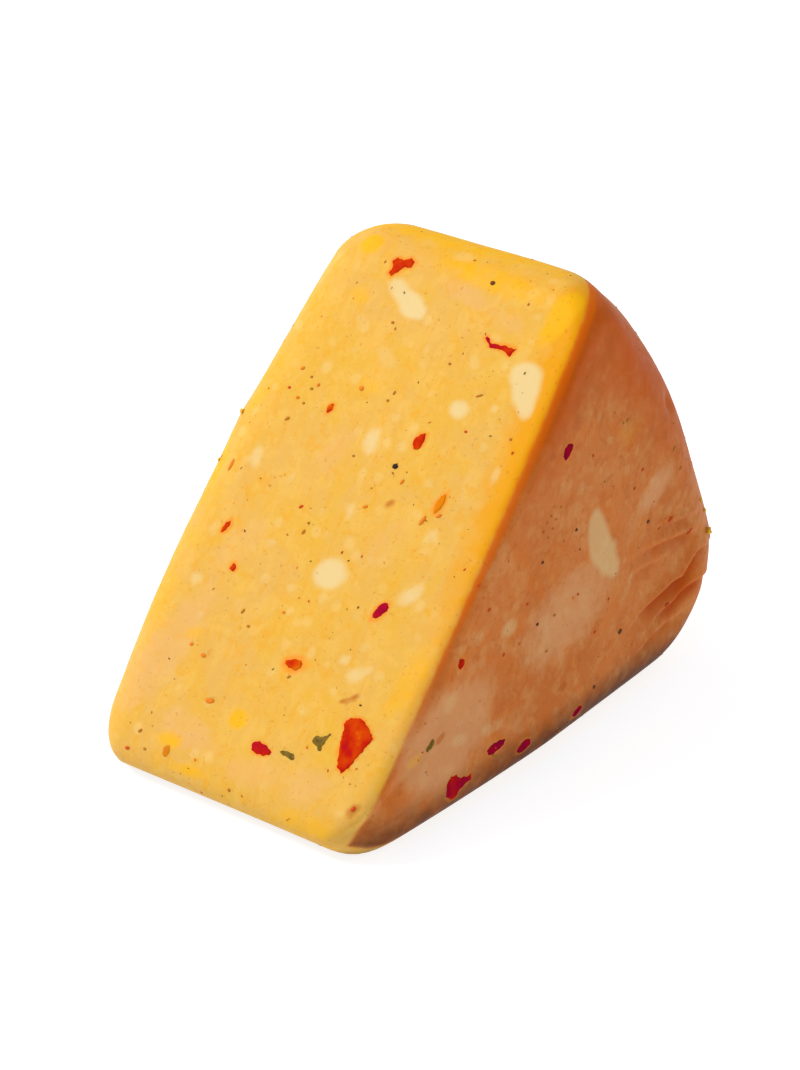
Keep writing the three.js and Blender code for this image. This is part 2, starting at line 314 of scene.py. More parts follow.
def way_in(face, place, shape):
    """A point inside the paste, one outside it over the place, and the face's first axis."""
    a, b = place[0] * MM, place[1] * MM
    sine, cosine = math.sin(shape.angle), math.cos(shape.angle)
    if face == "cut":
        foot = np.array([a, b * cosine, b * sine])
        normal = np.array([0, -sine, cosine])
        return foot - 6 * MM * normal, foot + 4 * MM * normal, Vector((1, 0, 0))
    if face == "rind":
        angle = b / shape.face_radius
        return from_tip(a, 50 * MM, angle), from_tip(a, 120 * MM, angle), Vector((-1, 0, 0))
    side = 1 if face == "right" else -1
    return np.array([0, a, b]), np.array([side * 40 * MM, a, b]), Vector((0, side, 0))


def seat_on(face, place, shape):
    """A matrix whose z axis points out of the smooth skin at the place, its x axis along the face's first."""
    inside, beyond, first = way_in(face, place, shape)
    point = crossing(inside[None], beyond[None], shape)
    out = Vector(outward_at(point, shape)[0])
    first = (first - out * first.dot(out)).normalized()
    turn = Matrix((first, out.cross(first), out)).transposed()
    return Matrix.Translation(Vector(point[0])) @ turn.to_4x4()


def turned(seat, degrees):
    return seat @ Matrix.Rotation(math.radians(degrees), 4, "Z")


# ---- Unevenness worked into the paste ----

# Folds that the wrap pressed into the right face, along and up in millimetres from where each begins. Below
# its line the skin drops away by `drop` within `reach`; above it the skin is raised into a lip.
FOLDS = [
    {"line": [(90, 17.4), (86.7, 18), (84.2, 17.9), (81.8, 16.6), (80.2, 15.6), (77.5, 15.8), (74, 15),
              (70.5, 14.4), (67, 13.2), (63.5, 11.4)],
     "drop": 1.15, "reach": 2.0, "lip": 0.55, "lip_reach": 1.5},
    {"line": [(90, 12.2), (87, 12.8), (84.4, 13.1), (81.5, 13), (79, 12.4), (76.3, 11.9), (73.5, 11.5),
              (71, 10.4)],
     "drop": 0.95, "reach": 1.5, "lip": 0.45, "lip_reach": 0.9},
    {"line": [(86, 21.4), (82, 22.2), (79, 22.8), (75, 23.5), (71, 24), (66, 24.4), (62, 25.4)],
     "drop": 0.55, "reach": 1.4, "lip": 0.5, "lip_reach": 1.3},
    {"line": [(84, 24.6), (80, 25.2), (76, 26), (72, 26.6), (67, 27.2)],
     "drop": 0.4, "reach": 1.1, "lip": 0.35, "lip_reach": 1},
    {"line": [(82, 9.4), (78, 9.6), (74, 9.2), (70, 8.2), (66, 7.4)],
     "drop": 0.4, "reach": 1.2, "lip": 0.3, "lip_reach": 1},
    {"line": [(76, 20.8), (72, 21.2), (68, 21.6), (63, 22)],
     "drop": 0.35, "reach": 1.3, "lip": 0.2, "lip_reach": 1.0},
]

# Broad dents (below nought) and swells: face, place, how far round about, and how deep, in millimetres.
DENTS = [
    ("right", (20, 3.5), 12, 0.45),
    ("right", (42, 3.5), 14, 0.5),
    ("rind", (17, 18), 8, 0.5),
    ("rind", (20, 72), 5, -0.5),
    ("right", (58, 52), 9, -0.4),
    ("right", (33, 24), 12, -0.35),
    ("left", (52, 30), 16, -0.3),
    ("left", (72, 20), 7, 0.5),
    ("left", (40, 42), 4, 0.3),
    ("right", (77, 44.5), 1.8, -0.6),
    ("cut", (-3, 20), 9, -0.25),
    ("cut", (6, 66), 12, 0.2),
    ("rind", (-8, 44), 10, -0.5),
    ("rind", (6, 26), 8, 0.35),
]


def curve_through(points, count):
    """Evenly many points on a smooth curve through the given ones."""
    p = np.array(points, float)
    p = np.vstack([2 * p[0] - p[1], p, 2 * p[-1] - p[-2]])
    t = np.linspace(0, len(points) - 1 - 1e-9, count)
    i, f = t.astype(int), (t % 1)[:, None]
    a, b, c, d = p[i], p[i + 1], p[i + 2], p[i + 3]
    return 0.5 * (2 * b + (c - a) * f + (2 * a - 5 * b + 4 * c - d) * f ** 2 + (3 * (b - c) + d - a) * f ** 3)


def fold_heights(points, out, fold):
    """How far one fold moves each point out, and how deep in the fold's shade it lies, from 0 to 1."""
    line = curve_through(fold["line"], 60) * MM
    moved, shade = np.zeros(len(points)), np.zeros(len(points))
    near = np.flatnonzero((out[:, 0] > 0.2) & (np.abs(points[:, 2] - line[:, 1].mean()) < 14 * MM)
                          & (points[:, 1] > line[:, 1].min()) & (points[:, 0] > 0))
    offset = points[near, None, 1:] - line[None]
    nearest = np.argmin((offset ** 2).sum(-1), axis=1)
    along = np.gradient(line, axis=0)
    along /= np.linalg.norm(along, axis=1, keepdims=True)
    to_line = offset[np.arange(len(near)), nearest]
    above = to_line[:, 1] * -along[nearest, 0] + to_line[:, 0] * along[nearest, 1]
    beyond_end = np.abs((to_line * along[nearest]).sum(-1))
    # A fold is faint where it begins, deepest from a third of its length, and dies away past the half.
    place = nearest / (len(line) - 1)
    strength = mixed(0.3, 1, smooth(place, 0.02, 0.3)) * (1 - smooth(place, 0.55, 1.0))
    strength *= np.exp(-(beyond_end / (1.5 * MM)) ** 2)
    below = np.maximum(-above, 0)
    drop = smooth(-above, -0.45 * MM, 0.65 * MM) * np.exp(-(below / (fold["reach"] * MM)) ** 2)
    lip = (1 - smooth(-above, -0.5 * MM, 0.3 * MM)) * np.exp(-(above / (fold["lip_reach"] * MM)) ** 2)
    moved[near] = strength * (fold["lip"] * lip - fold["drop"] * drop) * MM
    in_shade = smooth(-above, -0.3 * MM, 0.2 * MM) * np.exp(-(below / (1.5 * fold["reach"] * MM)) ** 2)
    shade[near] = strength * in_shade * min(fold["drop"], 1)
    return moved, shade


def sculpted(points, shape):
    """The smooth skin with its folds and dents: moved points, crease shade, and how free each is to move."""
    out = outward_at(points, shape)
    free = smooth(points[:, 2], 0.6 * MM, 4 * MM)
    moved, crease = np.zeros(len(points)), np.zeros(len(points))
    for fold in FOLDS:
        height, shade = fold_heights(points, out, fold)
        moved += height
        crease = np.maximum(crease, shade)
    for face, place, reach, height in DENTS:
        inside, beyond, _ = way_in(face, place, shape)
        centre = crossing(inside[None], beyond[None], shape)[0]
        far = np.linalg.norm(points - centre, axis=1)
        moved += height * MM * np.exp(-(far / (reach * MM)) ** 2)
    return points + out * (moved * free)[:, None], crease * free, free


# ---- What shows in the paste ----
# Each row is a face, a place on it, a length, a width, the turn of the length in degrees, and how strongly it
# shows. Sizes are in millimetres.

CURD = [  # pale lumps of curd
    ("cut", (-6.4, 81), 4.6, 3.4, -30, 0.8), ("cut", (-3.4, 79.4), 5.4, 4.2, -20, 1),
    ("cut", (-1.6, 78.6), 3, 2.4, -20, 0.8), ("cut", (18.4, 74.6), 6, 4.4, 15, 0.9),
    ("cut", (19.4, 72.6), 6, 5, -70, 1), ("cut", (20.6, 70.2), 4, 3, -80, 0.7),
    ("cut", (10.8, 67.3), 3.8, 3.4, 0, 0.8), ("cut", (-0.3, 59.5), 5.4, 3.2, 95, 0.75),
    ("cut", (2.1, 40.2), 6.2, 5.2, 15, 1), ("cut", (14.6, 40.6), 3.4, 2.8, 55, 0.5),
    ("cut", (16, 41.8), 4.4, 2.8, 65, 0.6), ("cut", (-3.4, 71), 6.4, 3.2, -30, 0.4),
    ("cut", (-17.3, 52.4), 4, 2.6, 100, 0.6), ("cut", (-18.3, 33.2), 3.2, 2.8, 0, 0.5),
    ("cut", (14.8, 49.5), 4, 2.6, 60, 0.5), ("cut", (1, 49.3), 3.6, 2.6, 110, 0.5),
    ("cut", (-3.2, 47.8), 2.4, 2, 0, 0.4), ("cut", (-10.3, 51), 3, 1.6, 80, 0.4),
    ("cut", (20.3, 60.4), 3.6, 1.9, 90, 0.5), ("cut", (11, 56.3), 2.6, 2.2, 0, 0.4),
    ("cut", (9.9, 29.9), 2.6, 2, 20, 0.6), ("cut", (12.4, 28.4), 3.8, 2.8, 30, 0.6),
    ("cut", (14.2, 29.8), 2.6, 1.8, 40, 0.4), ("cut", (16, 69), 2, 1.7, 0, 0.5),
    ("cut", (5.8, 68.3), 2.2, 1.6, 80, 0.4), ("cut", (-15.2, 28.7), 2, 1.7, 0, 0.4),
    ("cut", (-10.3, 37), 2.2, 1.6, 90, 0.4), ("cut", (-9, 71), 2.6, 2, 30, 0.3),
    ("cut", (-19, 48.8), 2, 1.5, 0, 0.4), ("cut", (-9, 41.5), 2.4, 1.8, 70, 0.4),
    ("cut", (-10, 27.8), 2.4, 1.8, 0, 0.3), ("cut", (1, 88.3), 5, 3, 10, 0.35),
    ("cut", (-1.2, 45), 2.2, 1.6, 30, 0.3), ("cut", (8, 22.5), 2.4, 1.8, 40, 0.25),
    ("cut", (-15, 18), 8, 4.6, -25, 0.25), ("cut", (-16, 13.5), 6, 3, -10, 0.25),
    ("cut", (20, 40), 3, 2, 70, 0.3),
    ("right", (56.3, 33.6), 6, 4.6, 95, 0.8), ("right", (57.4, 30.5), 8, 5.8, 105, 1),
    ("right", (59.6, 27.4), 8, 5.6, 120, 0.95), ("right", (61.4, 25), 5, 3.6, 130, 0.7),
    ("right", (36.5, 25.4), 4.8, 3.6, 0, 0.6), ("right", (29.5, 26.8), 4.4, 2.8, 30, 0.4),
    ("right", (37, 33), 4.6, 2.8, 80, 0.25), ("right", (23.6, 19.4), 5, 4, 60, 0.4),
    ("right", (41, 18.5), 3, 2.2, 0, 0.4), ("right", (25.5, 12.8), 5.2, 2.8, -15, 0.5),
    ("right", (33, 11.6), 6.4, 2.8, -5, 0.5), ("right", (18, 10), 5, 3.6, 0, 0.3),
    ("right", (37, 16), 2.6, 1.8, 0, 0.3), ("right", (65, 46), 9, 5, 10, 0.25),
    ("left", (34, 26), 6, 4.4, 30, 0.9), ("left", (37, 24), 4, 3, 10, 0.8),
    ("left", (50, 20), 4.4, 3.4, 0, 0.5), ("left", (63, 46), 5, 3.2, 70, 0.7),
    ("left", (76, 30), 4, 2.8, 40, 0.5), ("left", (24, 10), 3.6, 2.6, 0, 0.4),
    ("left", (58, 12), 6, 4, 15, 0.7), ("left", (45, 39), 3.2, 2.4, 60, 0.4),
    ("left", (68, 36), 3, 2.2, 0, 0.4), ("left", (40, 15), 2.8, 2, 90, 0.3),
    ("left", (80, 12), 4.4, 3, 120, 0.4),
    ("rind", (10, 30), 5.4, 3.8, 20, 0.8), ("rind", (-12, 22), 4.4, 3.2, 0, 0.5),
    ("rind", (-4, 50), 6, 4, 60, 0.7), ("rind", (14, 56), 3.8, 2.6, 0, 0.4),
    ("rind", (-14, 62), 3.4, 2.4, 45, 0.4), ("rind", (1, 12), 3.8, 3, 0, 0.4),
]
# The first band, along the whole top edge of the cut face, is painted light where the face rounds away from
# the lamp.
RICH = [  # patches of stronger yellow
    ("cut", (-2, 91), 46, 8, 0, 0.75), ("cut", (-14, 86.3), 4.6, 4, 0, 1),
    ("cut", (-2.4, 17.2), 3.6, 3.6, 0, 1), ("cut", (-15, 26), 4, 2.4, 20, 0.6),
    ("cut", (20.5, 30), 16, 4.5, 80, 0.45), ("cut", (-24, 50), 14, 4, 90, 0.6),
    ("cut", (14, 7.5), 16, 4, 5, 0.5), ("cut", (20, 84), 12, 4.5, 75, 0.9),
    ("cut", (8, 86), 26, 5, -5, 0.6), ("cut", (-11.5, 11), 5, 3, 10, 0.7),
    ("cut", (-7, 8), 9, 2.4, 5, 0.6), ("cut", (3, 50.5), 2, 1.4, 0, 0.7),
    ("cut", (-4.5, 66.5), 5, 3, -20, 0.5), ("cut", (-12, 78.5), 5, 3.4, 0, 0.5),
    ("cut", (-22, 60), 6, 3, 80, 0.5),
    ("right", (16.5, 13.5), 4, 2.4, 20, 0.8), ("right", (65, 45), 9, 5, 0, 0.4),
    ("left", (30, 30), 6, 4, 20, 0.6), ("left", (66, 24), 7, 4, 60, 0.6),
    ("rind", (6, 40), 6, 4, 30, 0.6), ("rind", (-10, 10), 7, 4, 0, 0.6),
]
BROWN = [  # smears of ground spice and darker places
    ("cut", (12.4, 24.7), 1.8, 1, 20, 1), ("cut", (13.9, 25.7), 1.8, 1, 50, 1),
    ("cut", (6.7, 52), 2, 1, 60, 0.8), ("cut", (12.6, 51.2), 1.8, 0.9, 40, 0.8),
    ("cut", (-11.5, 24), 1.8, 1.2, 70, 0.6), ("cut", (-8, 18.2), 1.8, 1.2, 10, 0.6),
    ("cut", (20.5, 11.5), 3, 1.6, 60, 0.6),
    ("right", (59.5, 39.6), 3.8, 1.2, 10, 0.8), ("right", (21.5, 14.8), 2.6, 1.3, 30, 1),
    ("right", (74, 40.8), 2.2, 1.8, 0, 0.8), ("right", (75, 43.5), 3.4, 1.8, 20, 0.8),
    ("right", (49.3, 11), 2.6, 1.6, 0, 1), ("right", (45, 48.2), 2, 1.8, 0, 0.9),
    ("right", (55, 56), 20, 9, 40, 0.6), ("right", (45.5, 38), 8, 6, 0, 0.35),
    ("right", (70, 41), 18, 5, 70, 0.4),
    ("left", (52, 28), 3, 1.2, 40, 0.8), ("left", (38, 34), 7, 4, 30, 0.5),
    ("left", (60, 58), 16, 7, -40, 0.5),
    ("rind", (-6, 34), 3, 1.4, 70, 0.8), ("rind", (12, 14), 4, 2, 0, 0.6),
    ("rind", (0, 66), 24, 8, 0, 0.4),
]
# On the right face the paler, pinker places are painted light bounced from the floor; elsewhere they are the
# paste's own tone.
BLUSH = [  # paler, pinker places
    ("cut", (-18.5, 22), 26, 8, 72, 0.9), ("cut", (-9, 13), 13, 6, -10, 0.8),
    ("cut", (3, 11), 12, 6, 10, 0.7), ("cut", (12, 12), 9, 6, 30, 0.7), ("cut", (5, 83), 12, 4, -15, 0.7),
    ("cut", (13, 81), 7, 4, -20, 0.6), ("cut", (-14, 40), 14, 6, 60, 0.6),
    ("cut", (-6, 56), 14, 6, 70, 0.5), ("cut", (9, 47), 12, 7, 60, 0.5),
    ("right", (23, 14), 24, 17, 20, 1), ("right", (38, 10), 12, 7, 0, 0.35),
    ("right", (50, 22), 26, 15, 10, 0.8), ("right", (72, 33), 12, 6, 20, 0.8),
    ("left", (40, 20), 20, 12, 20, 0.7),
    ("rind", (0, 24), 18, 12, 0, 0.5),
]
LUMPS = {"curd": CURD, "rich": RICH, "brown": BROWN, "blush": BLUSH}

# ---- What is let into the paste ----


def ragged(long, wide, turn, wander):
    """A flake's outline: an ellipse with its long axis at `turn` degrees, whose edge wanders a little."""
    a = np.linspace(0, 2 * math.pi, 10, endpoint=False)
    reach = 1 + 0.12 * np.sin(2 * a + wander) + 0.08 * np.sin(3 * a + 2 * wander)
    x, y = long / 2 * reach * np.cos(a), wide / 2 * reach * np.sin(a)
    c, s = math.cos(math.radians(turn)), math.sin(math.radians(turn))
    return list(zip(x * c - y * s, x * s + y * c))


PEPPER_PIECE = [(-2.5, 3), (-0.7, 3.9), (0.5, 3.6), (2.6, 2), (0.9, -2.9), (0.2, -3.9), (-0.9, -3.3),
                (-2, 0.2)]
BENT_CHILLI = [(-2, 0.7), (-1.3, 1.4), (-0.2, 1.3), (0.7, 1.9), (1.6, 1.5), (1.4, 0.6), (0.4, 0.3),
               (-0.2, -0.4), (-1.1, -1.4), (-1.7, -1.1), (-1.5, 0)]
CHILLI_STRAND = [(-2.6, 0.9), (-1.4, 0), (0.4, 0.3), (2.6, 0.3), (2, -0.9), (0.6, -0.4), (-1.5, -0.5),
                 (-2.9, 0.5)]
CHILLI_WEDGE = [(-1.6, 1), (-0.8, 1.9), (0.4, 1.7), (1.2, 0.8), (2.5, 0.5), (3.7, 0.4), (3.7, -0.4),
                (2.5, -0.7), (1.3, -1), (0.6, -2), (-0.5, -2), (-1.6, -1)]
HERB_SPRIG = [(-1.2, -0.4), (-0.9, 0.5), (0.1, 0.7), (1.1, 1.5), (1.3, 1.3), (0.8, 0.3), (0.7, -1.1),
              (0.3, -1.2), (-0.2, -0.8)]
RIND_HEIGHT = WEDGE_ANGLE * FACE_RADIUS  # from the table to the top of the rind, along its curve

# Each flake stands for the frame's node of its name: its face, place and outline, how far its oil has bled
# into the paste, and its tone, from dark crimson at 0 to orange at 1.
CHILLI = {
    "pepper_piece": ("cut", (16.4, 19.4), PEPPER_PIECE, 0.35, 0.6),
    "chilli_bent": ("cut", (-7.3, 83.9), BENT_CHILLI, 0.5, 0.6),
    "chilli_strand": ("cut", (12.9, 77.4), CHILLI_STRAND, 0.4, 0.45),
    "chilli_cut_1": ("cut", (7, 61.4), ragged(2.4, 1.7, 75, 1), 0.3, 0.62),
    "chilli_cut_2": ("cut", (11.9, 37.8), ragged(2.7, 1.6, 60, 2), 0.5, 0.2),
    "chilli_cut_3": ("cut", (2.5, 26.9), ragged(2.9, 1.6, 20, 3), 0.8, 0.8),
    "chilli_cut_4": ("cut", (3, 14.5), ragged(3.7, 1.6, 2, 4), 0.35, 0.47),
    "chilli_cut_5": ("cut", (-13.3, 36.4), ragged(1.2, 1, 30, 5), 0.4, 0.65),
    "chilli_cut_6": ("cut", (-17.2, 41.5), ragged(2.2, 0.8, 65, 6), 0.5, 0.6),
    "chilli_cut_7": ("cut", (14, 54.2), ragged(2.8, 1.1, 80, 1.5), 0.5, 1),
    "chilli_cut_8": ("cut", (-9, 62), ragged(1.5, 1, 85, 2.5), 0.4, 0.75),
    "chilli_wedge": ("right", (24.6, 6), CHILLI_WEDGE, 0.4, 0.32),
    "chilli_right_1": ("right", (48.8, 47.6), ragged(2.4, 2.2, 20, 1), 0.3, 0.12),
    "chilli_right_2": ("right", (33.6, 8.2), ragged(4.4, 1.5, 8, 4), 0.4, 0.2),
    "chilli_right_3": ("right", (40.1, 5.6), ragged(3, 1.9, 10, 2), 0.4, 0.1),
    "chilli_right_4": ("right", (53.3, 5.2), ragged(2.4, 1.5, 20, 3), 0.5, 0.2),
    "chilli_right_5": ("right", (25.7, 24.5), ragged(1.8, 1.4, 50, 5), 0.6, 0.5),
    "chilli_left_1": ("left", (30, 18), ragged(3.4, 1.9, 25, 1), 0.6, 0.5),
    "chilli_left_2": ("left", (57, 41), ragged(2.6, 1.7, 70, 2), 0.5, 0.3),
    "chilli_left_3": ("left", (70, 17), ragged(2.2, 1.5, 120, 3), 0.5, 0.7),
    "chilli_left_4": ("left", (47, 9), ragged(3.8, 1.2, 160, 4), 0.5, 0.1),
    "chilli_rind_1": ("rind", (8, 0.68 * RIND_HEIGHT), ragged(3.2, 2.1, 40, 2), 0.6, 0.5),
    "chilli_rind_2": ("rind", (-11, 0.45 * RIND_HEIGHT), ragged(2.4, 1.4, 110, 5), 0.5, 0.2),
}
HERBS = {
    "herb_cut_1": ("cut", (7.5, 15.1), ragged(2.5, 0.9, 0, 2)),
    "herb_cut_2": ("cut", (11.4, 18.4), HERB_SPRIG),
    "herb_right_1": ("right", (19.6, 14.5), ragged(1.8, 0.9, 50, 3)),
    "herb_left_1": ("left", (42, 28), ragged(2.4, 1.1, 35, 1)),
    "herb_rind_1": ("rind", (2, 0.3 * RIND_HEIGHT), ragged(2.2, 1, 80, 4)),
}
# Face, place, sizes, and the slot that the finish is taken from.
GRAINS = {
    "seed_cut_1": ("cut", (-11.4, 9.4), (1.5, 1.9, 0.8), "seed"),
    "seed_left_1": ("left", (62, 28), (1.8, 1.4, 0.8), "seed"),
    "peppercorn_cut_1": ("cut", (5, 57.1), (1, 0.9, 0.8), "peppercorn"),
    "peppercorn_right_1": ("right", (72.9, 14.6), (1, 0.9, 0.8), "peppercorn"),
    "peppercorn_rind_1": ("rind", (-5, 0.75 * RIND_HEIGHT), (1.1, 1, 0.8), "peppercorn"),
}

# Single bits of ground spice: face, place, length, width, turn, and kind. A kind is the middle of its fifth
# of the way from 0 to 1. The green bits, at 0.5, come from the scatter alone.
BROWN_BIT, RED_BIT, ORANGE_BIT, BLACK_BIT = 0.1, 0.3, 0.7, 0.9
SPICE_BITS = [
    ("cut", (-16.8, 63), 0.6, 0.4, 0, RED_BIT), ("cut", (-6.8, 47.6), 0.8, 0.5, 40, RED_BIT),
    ("cut", (13.3, 64.7), 0.5, 0.4, 0, RED_BIT), ("cut", (2.5, 43.5), 0.5, 0.3, 70, RED_BIT),
    ("cut", (-18, 7.7), 0.9, 0.5, 20, RED_BIT), ("cut", (20.5, 11.7), 0.9, 0.6, 60, RED_BIT),
    ("cut", (-13.2, 63.8), 0.6, 0.4, 10, BROWN_BIT), ("cut", (-14, 65.4), 0.5, 0.35, 0, BROWN_BIT),
    ("cut", (-15, 58.7), 0.9, 0.5, 40, BROWN_BIT), ("cut", (-13.5, 61.5), 0.5, 0.4, 0, BROWN_BIT),
    ("cut", (-5, 76.2), 0.6, 0.45, 0, BROWN_BIT), ("cut", (-4.7, 44.4), 0.8, 0.5, 70, BROWN_BIT),
    ("cut", (-4.5, 45.8), 0.5, 0.4, 0, BROWN_BIT), ("cut", (-0.5, 65.5), 0.5, 0.4, 0, BROWN_BIT),
    ("cut", (0, 66.8), 0.7, 0.4, 80, BROWN_BIT), ("cut", (6.5, 73), 0.5, 0.4, 0, BROWN_BIT),
    ("cut", (7.6, 85.6), 0.8, 0.7, 0, BLACK_BIT), ("cut", (13, 70), 1.2, 0.35, 30, BROWN_BIT),
    ("cut", (20.3, 65.6), 0.5, 0.4, 0, BROWN_BIT), ("cut", (-8.8, 31.2), 0.9, 0.4, 70, BROWN_BIT),
    ("cut", (-7, 29.5), 0.6, 0.4, 0, BROWN_BIT), ("cut", (-16.7, 10.6), 0.8, 0.5, 40, BROWN_BIT),
    ("cut", (-15, 8.5), 0.6, 0.4, 0, BROWN_BIT), ("cut", (0.5, 7.7), 0.6, 0.5, 0, BROWN_BIT),
    ("cut", (2.5, 25), 0.7, 0.4, 45, BROWN_BIT), ("cut", (12.5, 51.3), 1.6, 0.6, 75, ORANGE_BIT),
    ("cut", (-21, 50), 2, 0.7, 85, ORANGE_BIT), ("cut", (3, 50.5), 0.9, 0.5, 20, ORANGE_BIT),
    ("cut", (-8, 18), 1.5, 0.8, 15, ORANGE_BIT), ("cut", (-12, 23.5), 1, 0.6, 0, ORANGE_BIT),
    ("cut", (-16, 66.2), 0.8, 0.5, 30, ORANGE_BIT), ("cut", (-14.8, 62), 0.7, 0.5, 0, ORANGE_BIT),
    ("cut", (-12.4, 64.6), 0.6, 0.5, 60, ORANGE_BIT), ("cut", (-5.4, 66), 0.9, 0.7, 0, ORANGE_BIT),
    ("cut", (14.6, 52.6), 1, 0.5, 40, ORANGE_BIT), ("cut", (-2.4, 33), 0.6, 0.4, 0, ORANGE_BIT),
    ("cut", (7, 55.4), 0.9, 0.5, 70, ORANGE_BIT), ("cut", (-14.6, 24.4), 0.7, 0.5, 20, ORANGE_BIT),
    ("right", (64, 13.5), 1.1, 0.9, 0, BLACK_BIT), ("right", (70.3, 28.6), 0.8, 0.6, 0, BLACK_BIT),
    ("right", (43.5, 32.8), 0.7, 0.5, 0, BLACK_BIT), ("right", (51.5, 34.7), 0.6, 0.5, 0, BLACK_BIT),
    ("right", (57.5, 7.3), 0.7, 0.6, 0, BLACK_BIT), ("right", (79, 33.7), 1, 0.6, 0, BROWN_BIT),
    ("right", (64, 46.7), 0.8, 0.6, 0, BROWN_BIT), ("right", (77, 37.5), 1.1, 0.6, 30, BROWN_BIT),
    ("right", (43, 23.4), 0.6, 0.5, 0, BLACK_BIT), ("right", (47, 23.2), 0.6, 0.4, 0, BROWN_BIT),
    ("right", (45.2, 18.3), 0.6, 0.4, 0, BROWN_BIT), ("right", (39, 22), 0.6, 0.4, 0, BROWN_BIT),
    ("right", (57.2, 16.3), 0.7, 0.5, 0, RED_BIT), ("right", (73.8, 26.2), 1, 0.5, 20, RED_BIT),
    ("right", (76.4, 26.6), 1.3, 0.6, 10, RED_BIT), ("right", (82, 22.5), 1.5, 0.6, 20, RED_BIT),
    ("right", (76.8, 12.5), 1.3, 0.6, 0, RED_BIT), ("right", (43.4, 37.5), 0.5, 0.4, 0, BROWN_BIT),
    ("right", (44.2, 38.6), 0.4, 0.3, 0, BROWN_BIT), ("right", (45.1, 39.3), 0.5, 0.4, 0, BROWN_BIT),
    ("right", (45.6, 37.2), 0.4, 0.3, 0, BROWN_BIT), ("right", (46.3, 38.3), 0.5, 0.3, 0, BROWN_BIT),
    ("right", (47.4, 39.8), 0.4, 0.4, 0, BROWN_BIT), ("right", (44.6, 36.2), 0.4, 0.3, 0, BROWN_BIT),
    ("right", (31.6, 30.3), 0.8, 0.5, 20, RED_BIT), ("right", (35.4, 21.8), 0.7, 0.4, 60, RED_BIT),
    ("right", (40.4, 27.6), 0.6, 0.4, 0, RED_BIT), ("right", (52.6, 24.2), 0.6, 0.4, 0, RED_BIT),
    ("right", (60.5, 20.2), 0.6, 0.4, 30, RED_BIT), ("right", (68.2, 37.6), 0.8, 0.4, 10, RED_BIT),
    ("right", (66.2, 35.4), 0.7, 0.4, 20, RED_BIT), ("right", (55.2, 44.6), 0.6, 0.4, 0, RED_BIT),
]
# Crumbs that stand out of the skin: place in the wedge's own frame and size in millimetres.
CRUMBS = [((-24.4, 38.8, 43.2), 1.1), ((23.2, 88.7, 19.7), 1.4), ((22.7, 86.8, 25.3), 0.7),
          ((22.4, 88.5, 22.9), 0.8), ((-25, 34.1, 37.3), 0.7)]


def lump_depth(points, seat, long, wide):
    """How far inside a lump points are: 1 at its middle, 0 at its edge, and below nought beyond."""
    away = (points - np.array(seat.translation)) @ np.array(seat.to_3x3())
    halves = np.array([long, wide, wide]) / 2 * MM
    return 1 - np.sqrt(((away / halves) ** 2).sum(-1))


def line_distance(points, ends):
    """The shortest distance in a plane from each point to a closed outline."""
    a, b = np.array(ends), np.roll(ends, -1, axis=0)
    step, to_point = b - a, points[:, None] - a
    t = np.clip((to_point * step).sum(-1) / (step ** 2).sum(-1), 0, 1)
    return np.linalg.norm(to_point - t[..., None] * step, axis=-1).min(1)


def within(points, outline):
    """Which points in a plane lie inside a closed outline."""
    x, y = points[:, 0, None], points[:, 1, None]
    (ax, ay), (bx, by) = np.array(outline).T, np.roll(outline, -1, axis=0).T
    crosses = (ay > y) != (by > y)
    rise = np.where(by == ay, 1, by - ay)
    return (crosses & (x < (bx - ax) * (y - ay) / rise + ax)).sum(1) % 2 == 1


